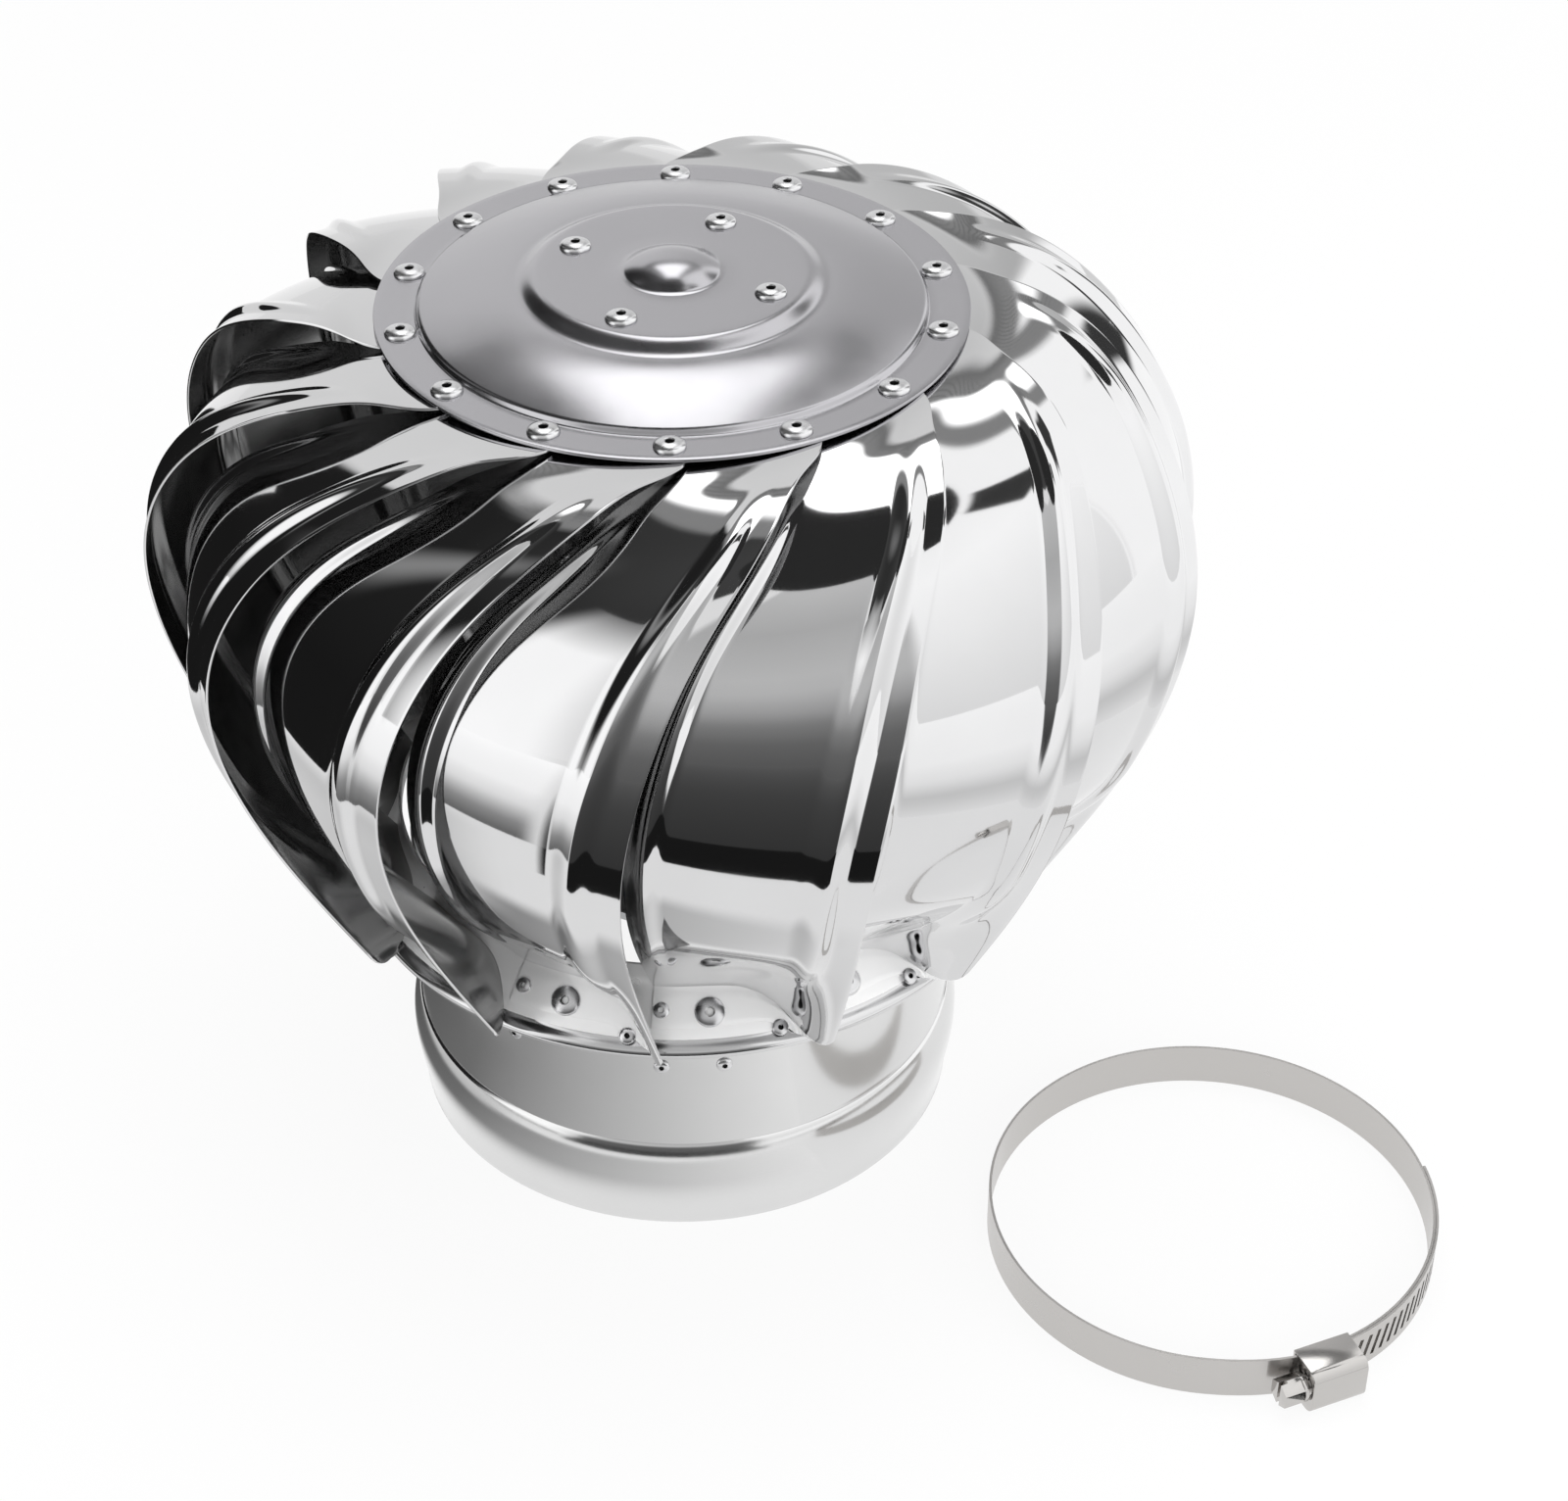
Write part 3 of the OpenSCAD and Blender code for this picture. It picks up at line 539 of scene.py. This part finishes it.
class ChimneyCapSizes(bpy.types.PropertyGroup):
    """Sizes of the chimney cap that a user would change."""

    ball_diameter: FloatProperty(
        name="Ball diameter", description="Diameter over the blades' free edges",
        default=0.272, unit="LENGTH")
    ball_height: FloatProperty(
        name="Ball height", description="Height of the blades' widest place above the floor",
        default=0.181, unit="LENGTH")
    ridge_height: FloatProperty(
        name="Ridge height", description="Height of the ridges that stiffen each blade",
        default=0.0019, unit="LENGTH")
    rivet_head: FloatProperty(
        name="Rivet head", description="Diameter of a large rivet's head",
        default=0.008, unit="LENGTH")
    eyelet_head: FloatProperty(
        name="Small rivet head", description="Diameter of a small rivet's head",
        default=0.0044, unit="LENGTH")
    lathe_steps: IntProperty(
        name="Lathe steps", description="Faces round the cap plate, ring and collar",
        default=180, min=48)


class ChimneyCapColours(bpy.types.PropertyGroup):
    """Colours and finishes of the chimney cap."""

    mirror: FloatVectorProperty(
        name="Mirror sheet", description="Colour of the polished blades and the ring's roll",
        subtype="COLOR", default=(0.70, 0.70, 0.705))
    mirror_roughness: FloatProperty(
        name="Mirror roughness", description="Roughness of the polished blades", default=0.05)
    # Darker than the mirror sheet: painted shade on the blades' inner faces
    inner: FloatVectorProperty(
        name="Inner faces", description="Colour of the blades' inner faces, darkened as painted shade",
        subtype="COLOR", default=(0.3, 0.3, 0.3))
    cap: FloatVectorProperty(
        name="Cap plate", description="Colour of the satin cap plate",
        subtype="COLOR", default=(0.50, 0.495, 0.515))
    # Paler than the mirror sheet: painted light on the feet and the ring's cone
    foot: FloatVectorProperty(
        name="Feet and cone", description="Colour of the ring's cone and the blades' feet, paled as painted light",
        subtype="COLOR", default=(0.88, 0.88, 0.88))
    satin: FloatVectorProperty(
        name="Collar", description="Colour of the satin collar",
        subtype="COLOR", default=(0.74, 0.74, 0.74))
    rivet: FloatVectorProperty(
        name="Rivets", description="Colour of the rivets",
        subtype="COLOR", default=(0.76, 0.76, 0.77))
    # Near black: painted shade inside the rivets' holes
    mandrel: FloatVectorProperty(
        name="Rivet hole shade", description="Colour of the rivets' holes, near black as painted shade",
        subtype="COLOR", default=(0.05, 0.05, 0.05))
    band: FloatVectorProperty(
        name="Clamp band", description="Colour of the clamp's band and housing",
        subtype="COLOR", default=(0.56, 0.545, 0.53))
    zinc: FloatVectorProperty(
        name="Zinc plate", description="Colour of the plated bracket, hub and shaft",
        subtype="COLOR", default=(0.55, 0.56, 0.57))
    bearing: FloatVectorProperty(
        name="Bearing steel", description="Colour of the bearing races and balls",
        subtype="COLOR", default=(0.45, 0.45, 0.46))


# ---------------------------------------------------------------------------
# The studio

# Metres and degrees: the middle of the cards' sphere, the walls' height, and the floor cards' reach
BALL_AT = Vector((0, 0, 0.15))
WALL_LOW, WALL_TOP = -2.9, 76.5
FLOOR_FAR = 3.15

LAMPS_LOOK_AT = Vector((0, 0, 0.12))

# The photograph's camera, fitted to the cap's rim, rivets and blades: focal length and width in
# pixels, place in metres, and how far it looks down, to the side and askew, in degrees
PHOTO_FOCAL, PHOTO_WIDTH = 3397, 1600
EYE_AT = (0, -0.727, 0.652)
EYE_DOWN, EYE_YAW, EYE_ROLL = 36.97, -2.22, 0.28


class CHIMNEYCAP_OT_stage(bpy.types.Operator):
    """Adds the floor, the studio's cards, the lamps and the camera"""

    bl_idname = "chimneycap.stage"
    bl_label = "Add stage"

    def execute(self, context):
        floor()
        white_world()
        wall_cards()
        floor_cards()
        lamps()
        camera()
        return {"FINISHED"}


def seen_mask(nodes, links):
    """1 for camera, glossy and transmission rays, 0 for the rest."""
    path = nodes.new("ShaderNodeLightPath")
    mask = path.outputs["Is Camera Ray"]
    for ray in ("Is Glossy Ray", "Is Transmission Ray"):
        either = add(nodes, "ShaderNodeMath", operation="MAXIMUM")
        links.new(mask, either.inputs[0])
        links.new(path.outputs[ray], either.inputs[1])
        mask = either.outputs["Value"]
    return mask


def white_ground(material, colour):
    """White to the camera and in reflections, plain diffuse to every other ray."""
    material.use_nodes = True
    nodes, links = material.node_tree.nodes, material.node_tree.links
    shader = nodes["Principled BSDF"]
    shader.inputs["Base Color"].default_value = (*colour, 1)
    shader.inputs["Roughness"].default_value = 0.9
    glow = add(nodes, "ShaderNodeEmission", Strength=1.0)
    glow.inputs["Color"].default_value = (1, 1, 1, 1)
    share = add(nodes, "ShaderNodeMath", operation="MULTIPLY")
    share.inputs[1].default_value = 0.9
    links.new(seen_mask(nodes, links), share.inputs[0])
    mix = nodes.new("ShaderNodeMixShader")
    links.new(share.outputs["Value"], mix.inputs["Fac"])
    links.new(shader.outputs["BSDF"], mix.inputs[1])
    links.new(glow.outputs["Emission"], mix.inputs[2])
    links.new(mix.outputs["Shader"], nodes["Material Output"].inputs["Surface"])


def floor():
    """The pale floor just under the object."""
    bm = bmesh.new()
    bmesh.ops.create_grid(bm, x_segments=1, y_segments=1, size=6)
    bmesh.ops.translate(bm, vec=(0, 0, -0.0001), verts=bm.verts)
    mesh = bpy.data.meshes.new("floor")
    bm.to_mesh(mesh)
    bm.free()
    ground = bpy.data.objects.new("floor", mesh)
    bpy.context.scene.collection.objects.link(ground)
    material = bpy.data.materials.new("Pale floor")
    white_ground(material, (0.86, 0.86, 0.86))
    mesh.materials.append(material)


def white_world():
    """A world that is white where it is seen and a soft fill elsewhere."""
    world = bpy.data.worlds.new("Studio")
    bpy.context.scene.world = world
    world.use_nodes = True
    nodes, links = world.node_tree.nodes, world.node_tree.links
    back = nodes["Background"]
    back.inputs["Color"].default_value = (1, 1, 1, 1)
    level = add(nodes, "ShaderNodeMapRange", To_Min=0.45, To_Max=1.0)
    links.new(seen_mask(nodes, links), level.inputs["Value"])
    links.new(level.outputs["Result"], back.inputs["Strength"])


def card(name, tones, at, soft, across):
    """A studio card, seen only in reflections: at(x, y) places its corners, its tones run along y
    or across it along x, and its cover fades out over the soft share of each side."""
    bm = bmesh.new()
    bmesh.ops.create_grid(bm, x_segments=40, y_segments=40, size=0.5)
    glow, cover = bm.verts.layers.float.new("tone"), bm.verts.layers.float.new("cover")
    for vert in bm.verts:
        x, y = vert.co.x + 0.5, vert.co.y + 0.5
        vert[glow] = tone_at(tones, x if across else y)
        vert[cover] = 1.0
        for place, width in ((x, soft[0]), (y, soft[1])):
            if width:
                vert[cover] *= smooth(min(place, 1 - place) / width)
        vert.co = at(x, y)
    mesh = bpy.data.meshes.new(name)
    bm.to_mesh(mesh)
    bm.free()
    piece = bpy.data.objects.new(name, mesh)
    bpy.context.scene.collection.objects.link(piece)
    mesh.materials.append(card_paper())
    piece.visible_camera = False
    piece.visible_diffuse = False
    piece.visible_shadow = False


def tone_at(tones, y):
    """A tone between stops of place and tone; a plain number is the same all over."""
    if isinstance(tones, float):
        return tones
    for (y0, t0), (y1, t1) in zip(tones, tones[1:]):
        if y <= y1:
            return lerp(t0, t1, (y - y0) / (y1 - y0))
    return tones[-1][1]


def card_paper():
    """Paper that glows with the tone stored on the card's corners, and fades out at soft edges."""
    paper = bpy.data.materials.get("Studio card")
    if paper is None:
        paper = bpy.data.materials.new("Studio card")
        paper.use_nodes = True
        nodes, links = paper.node_tree.nodes, paper.node_tree.links
        nodes.remove(nodes["Principled BSDF"])
        tone = add(nodes, "ShaderNodeAttribute", attribute_name="tone")
        cover = add(nodes, "ShaderNodeAttribute", attribute_name="cover")
        glow = nodes.new("ShaderNodeEmission")
        clear = nodes.new("ShaderNodeBsdfTransparent")
        mix = nodes.new("ShaderNodeMixShader")
        links.new(tone.outputs["Fac"], glow.inputs["Strength"])
        links.new(cover.outputs["Fac"], mix.inputs["Fac"])
        links.new(clear.outputs["BSDF"], mix.inputs[1])
        links.new(glow.outputs["Emission"], mix.inputs[2])
        links.new(mix.outputs["Shader"], nodes["Material Output"].inputs["Surface"])
    return paper


def wall_card(name, azimuth, elevation, tones, soft=(0.0, 0.0), distance=3.0, across=False):
    """A card on a sphere round the ball. Azimuth runs from the front to the right, in degrees."""
    def at(x, y):
        a, e = math.radians(lerp(*azimuth, x)), math.radians(lerp(*elevation, y))
        return BALL_AT + distance * Vector(
            (math.sin(a) * math.cos(e), -math.cos(a) * math.cos(e), math.sin(e)))
    card(name, tones, at, soft, across)


def floor_card(name, azimuth, reach, tones, lift, soft=(0.0, 0.0), across=False):
    """A card that lies on the floor, between two distances from the object's axis."""
    def at(x, y):
        a, r = math.radians(lerp(*azimuth, x)), reach[0] * (reach[1] / reach[0]) ** y
        return Vector((r * math.sin(a), -r * math.cos(a), lift))
    card(name, tones, at, soft, across)


def wall_cards():
    """The studio's walls, soft boxes and flags, as the polished blades show them."""
    wall_card("back_low_box", (138, 222), (WALL_LOW, 10), 0.88)
    wall_card("back_wall", (148, 212), (7, 42),
              [(0.0, 0.56), (0.3, 0.7), (0.5, 0.8), (0.62, 0.86), (1.0, 0.88)],
              (0.04, 0.14), 2.95, True)
    wall_card("back_wall_top", (146, 214), (38, 50), 0.2, (0.05, 0.3), 2.9)
    wall_card("back_corners", (144, 216), (40, 76), 0.3, (0.06, 0.15), 2.9)
    wall_card("back_soft_box", (156, 204), (47, 76), 2.3, (0.14, 0.06), 2.85)
    wall_card("overhead_flag", (0, 360), (75, 90), 0.03, (0.0, 0.0), 2.8)
    wall_card("overhead_gap", (87, 110), (61, 74), 0.05, (0.1, 0.1), 2.8)
    wall_card("front_screen", (-42, 27), (WALL_LOW, WALL_TOP),
              [(0.0, 0.13), (0.13, 0.17), (0.24, 0.27), (0.31, 0.44), (0.42, 0.62), (0.5, 0.65),
               (0.75, 0.55), (1.0, 0.7)], (0.05, 0.0))
    wall_card("right_soft_box", (24, 92), (WALL_LOW, WALL_TOP),
              [(0.0, 0.98), (0.35, 1.12), (0.8, 1.3), (1.0, 1.25)], (0.03, 0.0), 3.05)
    wall_card("right_back_soft_box", (90, 150), (WALL_LOW, WALL_TOP), 1.27, (0.0, 0.0), 3.05)
    wall_card("right_flag", (124, 141), (2, 46), 0.05, (0.2, 0.1))
    wall_card("left_flag", (-151, -58), (WALL_LOW, WALL_TOP),
              [(0.0, 0.012), (0.55, 0.02), (1.0, 0.07)], (0.02, 0.0), 3.1)
    wall_card("left_glow", (-128, -106), (12, 62), 0.3, (0.5, 0.4), 3.05)
    wall_card("left_window", (-86, -41), (WALL_LOW, 56),
              [(0.0, 1.35), (0.75, 1.3), (1.0, 0.25)], (0.3, 0.0))


def floor_cards():
    """The cards that lie on the floor."""
    floor_card("front_floor_flag", (-42, 24), (0.3, FLOOR_FAR),
               [(0.0, 0.045), (0.35, 0.07), (1.0, 0.14)], 0.0008, (0.03, 0.0))
    floor_card("front_floor_edge", (-42, 26), (0.23, 0.3), 0.012, 0.0009, (0.02, 0.0))
    floor_card("left_floor_glow", (-84, -41), (0.3, FLOOR_FAR),
               [(0.0, 0.16), (0.08, 0.36), (0.134, 0.67), (0.19, 1.0), (0.33, 1.25), (1.0, 1.4)],
               0.0006, (0.12, 0.0))
    floor_card("left_floor_flag", (-151, -76), (0.31, FLOOR_FAR), 0.012, 0.0004)
    floor_card("left_floor_shade", (-165, -48), (0.12, 0.32),
               [(0.0, 0.6), (0.6, 0.75), (1.0, 0.7)], 0.0002, (0.2, 0.2))
    floor_card("collar_floor_shade", (-205, 32), (0.0785, 0.17),
               [(0.0, 0.95), (0.22, 0.4), (0.4, 0.1), (0.58, 0.2), (0.8, 0.62), (1.0, 1.0)],
               0.0001, (0.0, 0.2), True)
    floor_card("right_floor_glow", (24, 150), (0.27, FLOOR_FAR),
               [(0.0, 0.96), (0.07, 0.73), (0.14, 1.05), (0.25, 1.2), (1.0, 1.28)], 0.0003)


def lamps():
    """Soft boxes overhead, at the sides and in front, which reflections don't show."""
    for name, at, size, power in (
            ("overhead_lamp", (0.1, 0.35, 2.2), 1.6, 26.0),
            ("right_lamp", (2.0, -0.9, 1.1), 1.4, 14.0),
            ("left_lamp", (-1.9, -1.4, 1.5), 1.0, 6.0),
            ("front_lamp", (0.2, -2.0, 0.9), 1.2, 22.0)):
        light = bpy.data.lights.new(name, "AREA")
        light.energy = power
        light.size = size
        lamp = bpy.data.objects.new(name, light)
        lamp.location = at
        lamp.rotation_euler = (LAMPS_LOOK_AT - Vector(at)).to_track_quat("-Z", "Y").to_euler()
        lamp.visible_glossy = False
        lamp.visible_camera = False
        bpy.context.scene.collection.objects.link(lamp)


def camera():
    """The camera at the photograph's place, looking down at the object."""
    lens = bpy.data.cameras.new("camera")
    lens.sensor_fit = "HORIZONTAL"
    lens.sensor_width = 36
    lens.lens = lens.sensor_width * PHOTO_FOCAL / PHOTO_WIDTH
    eye = bpy.data.objects.new("camera", lens)
    bpy.context.scene.collection.objects.link(eye)
    yaw = Matrix.Rotation(math.radians(EYE_YAW), 4, "Z")
    down = Matrix.Rotation(math.pi / 2 - math.radians(EYE_DOWN), 4, "X")
    roll = Matrix.Rotation(math.radians(EYE_ROLL), 4, "Z")
    eye.matrix_world = Matrix.Translation(EYE_AT) @ yaw @ down @ roll
    bpy.context.scene.camera = eye
    bpy.context.scene.view_settings.view_transform = "Standard"


# ---------------------------------------------------------------------------
# The steps that build the object


class CHIMNEYCAP_OT_blades(bpy.types.Operator):
    """Adds the fourteen scoop blades"""

    bl_idname = "chimneycap.blades"
    bl_label = "Add blades"

    def execute(self, context):
        sizes = context.scene.chimney_cap_sizes
        part = blade_mesh(blade_edges(sizes), sizes.ridge_height / MM)
        mesh = bpy.data.meshes.new("part")
        part.to_mesh(mesh)
        part.free()
        metals = [finishes()[key] for key in BLADE_METALS]
        for k in range(BLADES):
            bm = bmesh.new()
            bm.from_mesh(mesh)
            turn = Matrix.Rotation(k * PITCH, 3, "Z")
            bmesh.ops.rotate(bm, cent=(0, 0, 0), matrix=turn, verts=bm.verts)
            finish_piece("polished_blade_%02d" % (k + 1), bm, metals, "rotor",
                         ["blade_%02d" % (k + 1)])
        bpy.data.meshes.remove(mesh)
        return {"FINISHED"}


class CHIMNEYCAP_OT_cap_plate(bpy.types.Operator):
    """Adds the stamped cap plate"""

    bl_idname = "chimneycap.cap_plate"
    bl_label = "Add cap plate"

    def execute(self, context):
        top = CAP_Z + CAP_T
        disc, dome = top + DISC_RISE, DISC_RISE - STEP_RISE - LIP_RISE
        line = [(CAP_R, top), (CAP_R - 2, top), (STEP_R + 3, top), (STEP_R + 1.1, top),
                (STEP_R + 0.75, top + 0.1), (STEP_R + 0.45, top + 0.5), (STEP_R + 0.25, top + 1.0)]
        line += [(lerp(STEP_R, LIP_R, f), top + STEP_RISE + dome * (1 - (1 - f) ** 1.5))
                 for f in shares(28)]
        line += [(LIP_R - LIP_W * f, disc - LIP_RISE * (1 - smooth(f))) for f in shares(12, 1)]
        line += [(LIP_R - LIP_W - 3, disc), (DIMPLE_R + 6, disc), (DIMPLE_R + 1.2, disc)]
        line += [(DIMPLE_R * f, disc + 0.1 + DIMPLE_RISE * (1 - f ** 2.3))
                 for f in [0.985 * (1 - g) for g in shares(20)]]
        bm = lathe(line, context.scene.chimney_cap_sizes.lathe_steps)
        face_outwards(bm, Vector((0, 0, 0.4)))
        sheet_of(bm, CAP_T)
        finish_piece("cap_plate", bm, [finishes()["cap"]], "rotor", ["top_cap"],
                     sharp=50)
        return {"FINISHED"}


class CHIMNEYCAP_OT_ring(bpy.types.Operator):
    """Adds the running ring with its rolled edge"""

    bl_idname = "chimneycap.ring"
    bl_label = "Add running ring"

    def execute(self, context):
        bore, roll = RING_BORE_R, RING_R - ROLL_R
        line = [(bore + 0.02, CONE_SUM - bore + 5), (bore + 0.02, CONE_SUM - bore + 1.2),
                (bore + 0.3, CONE_SUM - bore + 0.15), (bore + 0.9, CONE_SUM - bore - 0.75),
                (bore + 2, CONE_SUM - bore - 2), (bore + 6, CONE_SUM - bore - 6)]
        line += [(roll - 2.6, CONE_SUM - roll + 2.6), (roll - 1.5, CONE_SUM - roll + 1.5),
                 (roll - 1.0, CONE_SUM - roll + 1.0 - GROOVE * 0.6),
                 (roll - 0.4, CONE_SUM - roll + 0.4 - GROOVE),
                 (roll + 0.15, CONE_SUM - roll - 0.15 - GROOVE * 0.3)]
        line += arc((roll, RING_Z), ROLL_R, range(60, -181, -12))
        bm = lathe(line, context.scene.chimney_cap_sizes.lathe_steps)
        face_outwards(bm, Vector((0, -0.2, 0.2)))
        # The roll keeps the polished sheet, and the cone takes the paler foot sheet, which is
        # painted light
        for face in bm.faces:
            face.material_index = int(face.calc_center_median().xy.length < (roll - 1.0) * MM)
        sheet_of(bm, RING_T)
        finish_piece("rolled_ring", bm, [finishes()["ring"], finishes()["foot"]], "rotor",
                     ["running_ring"], sharp=50)
        return {"FINISHED"}


class CHIMNEYCAP_OT_collar(bpy.types.Operator):
    """Adds the flue collar with its swaged bead"""

    bl_idname = "chimneycap.collar"
    bl_label = "Add flue collar"

    def execute(self, context):
        foot, out = COLLAR_R + COLLAR_FLARE, COLLAR_R + BEAD_OUT
        line = [(foot - 0.1, 0.0), (foot, 1.5)]
        line += [(lerp(foot, out, smooth(f) ** 0.8), lerp(1.5, BEAD_Z, f)) for f in shares(16, 1)]
        line += arc((out - CROWN_R, BEAD_Z), CROWN_R, range(3, CROWN_ARC + 1, 3))
        r, z = line[-1]
        lean = math.radians(CROWN_ARC)
        middle = (r - SHOULDER_R * math.cos(lean), z - SHOULDER_R * math.sin(lean))
        line += arc(middle, SHOULDER_R, range(CROWN_ARC + 4, SHOULDER_ARC + 1, 5))
        r, z = line[-1]
        line += [(lerp(r, COLLAR_R + 0.1, f), z + 0.5 * f) for f in (0.4, 0.8)]
        line += [(COLLAR_R + 0.08, z + 0.6), (COLLAR_R + 0.03, z + 1.1), (COLLAR_R, z + 1.8),
                 (COLLAR_R, COLLAR_H - 1.5), (COLLAR_R, COLLAR_H)]
        bm = lathe(line, context.scene.chimney_cap_sizes.lathe_steps)
        face_outwards(bm, Vector((0, -0.3, 0.06)))
        sheet_of(bm, COLLAR_T)
        finish_piece("beaded_collar", bm, [finishes()["collar"]], "root", ["flue_collar"],
                     sharp=50)
        return {"FINISHED"}


class CHIMNEYCAP_OT_rivets(bpy.types.Operator):
    """Adds the large and small blind rivets"""

    bl_idname = "chimneycap.rivets"
    bl_label = "Add rivets"

    def execute(self, context):
        sizes = context.scene.chimney_cap_sizes
        head, small = sizes.rivet_head / MM, sizes.eyelet_head / MM
        # The second material is the painted shade inside the rivets' holes
        steel = [finishes()["rivet"], finishes()["mandrel"]]
        top = CAP_Z + CAP_T + 0.05
        rim = Matrix.Translation(Vector((0, -RIM_RIVET_R, top)) * MM)
        disc = Matrix.Translation(Vector((0, -HUB_RIVET_R, top + DISC_RISE)) * MM)
        collar = (Matrix.Translation(Vector((0, -COLLAR_R - 0.05, BRACKET_Z)) * MM)
                  @ Matrix.Rotation(math.pi / 2, 4, "X"))
        for name, node, body, part, places in (
                ("rim_rivets", "cap_rivets", "rotor", rivet_mesh(head, SHANK, grip=1.7),
                 around(BLADES, RIM_RIVET_TURN, rim)),
                ("disc_rivets", "hub_rivets", "rotor", rivet_mesh(head, SHANK, grip=3.5),
                 around(HUB_RIVETS, HUB_RIVET_TURN, disc)),
                ("foot_rivets", "ring_rivets", "rotor", rivet_mesh(head, SHANK, grip=1.9),
                 around(BLADES, RING_RIVET_TURN, on_feet(RING_RIVET_R))),
                ("foot_small_rivets", "foot_eyelets", "rotor",
                 rivet_mesh(small, SMALL_SHANK, grip=1.9, segments=20),
                 around(BLADES, CORNER_EYELET_TURN, on_feet(CORNER_EYELET_R))
                 + around(BLADES, TIP_EYELET_TURN, on_feet(TIP_EYELET_R))),
                ("collar_small_rivets", "collar_rivets", "root",
                 rivet_mesh(small, SMALL_SHANK, grip=2.6, segments=20),
                 around(BRACKET_FEET, BRACKET_TURN - EYELET_SPREAD, collar)
                 + around(BRACKET_FEET, BRACKET_TURN + EYELET_SPREAD, collar)
                 + around(1, SEAM_TURN, collar))):
            finish_piece(name, copies(part, places), steel, body, [node])
        return {"FINISHED"}


class CHIMNEYCAP_OT_clamp(bpy.types.Operator):
    """Adds the hose clamp's housing and screw with rounded edges"""

    bl_idname = "chimneycap.clamp"
    bl_label = "Add clamp fittings"

    def execute(self, context):
        for name, node, width, body, slot in (
                ("saddle_housing", "clamp_housing", 0.42, "root", "band_steel"),
                ("worm_screw", "clamp_screw", 0.18, "clamp_screw", "screw_steel")):
            bm = bmesh.new()
            bm.from_mesh(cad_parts[node].data)
            bmesh.ops.remove_doubles(bm, verts=bm.verts, dist=1e-6)
            bmesh.ops.dissolve_limit(bm, angle_limit=math.radians(1), verts=bm.verts,
                                     edges=bm.edges)
            bm.normal_update()
            round_edges(bm, 40, width, 3)
            finish_piece(name, bm, [finishes()["screw"]], body, [node])
        return {"FINISHED"}


class CHIMNEYCAP_OT_inner_parts(bpy.types.Operator):
    """Gives the shaft, bracket, hub and bearings their metals"""

    bl_idname = "chimneycap.inner_parts"
    bl_label = "Finish inner parts"

    def execute(self, context):
        metals = {
            "zinc": ["shaft_bracket", "shaft", "shaft_nuts", "shaft_washers", "inner_spacer",
                     "outer_spacer", "bearing_hub"],
            "bearing": ["upper_inner_race", "lower_inner_race", "upper_outer_race",
                        "lower_outer_race", "hub_circlip", "upper_balls", "lower_balls",
                        "upper_cage", "lower_cage"],
            "band": ["clamp_band"]}
        for key, nodes in metals.items():
            for node in nodes:
                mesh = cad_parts[node].data
                mesh.materials.clear()
                mesh.materials.append(finishes()[key])
        return {"FINISHED"}


# ---------------------------------------------------------------------------
# The panel and the start


class CHIMNEYCAP_PT_panel(bpy.types.Panel):
    """Shows the sizes and colours, and lists the steps that build the chimney cap"""

    bl_idname = "CHIMNEYCAP_PT_panel"
    bl_label = "Chimney Cap"
    bl_space_type = "VIEW_3D"
    bl_region_type = "UI"
    bl_category = "Chimney Cap"

    def draw(self, context):
        sizes, colours = context.scene.chimney_cap_sizes, context.scene.chimney_cap_colours
        for owner in (sizes, colours):
            for name in owner.__annotations__:
                self.layout.prop(owner, name)
        for step in STEPS:
            self.layout.operator(step.bl_idname)


STEPS = (CHIMNEYCAP_OT_stage, CHIMNEYCAP_OT_blades, CHIMNEYCAP_OT_cap_plate, CHIMNEYCAP_OT_ring,
         CHIMNEYCAP_OT_collar, CHIMNEYCAP_OT_rivets, CHIMNEYCAP_OT_clamp, CHIMNEYCAP_OT_inner_parts)
CLASSES = (ChimneyCapSizes, ChimneyCapColours, *STEPS, CHIMNEYCAP_PT_panel)


def register():
    for item in CLASSES:
        bpy.utils.register_class(item)
    bpy.types.Scene.chimney_cap_sizes = PointerProperty(type=ChimneyCapSizes)
    bpy.types.Scene.chimney_cap_colours = PointerProperty(type=ChimneyCapColours)


def unregister():
    del bpy.types.Scene.chimney_cap_colours
    del bpy.types.Scene.chimney_cap_sizes
    for item in reversed(CLASSES):
        bpy.utils.unregister_class(item)


def main():
    register()
    for step in STEPS:
        group, name = step.bl_idname.split(".")
        getattr(getattr(bpy.ops, group), name)()


if __name__ == "__main__":
    main()
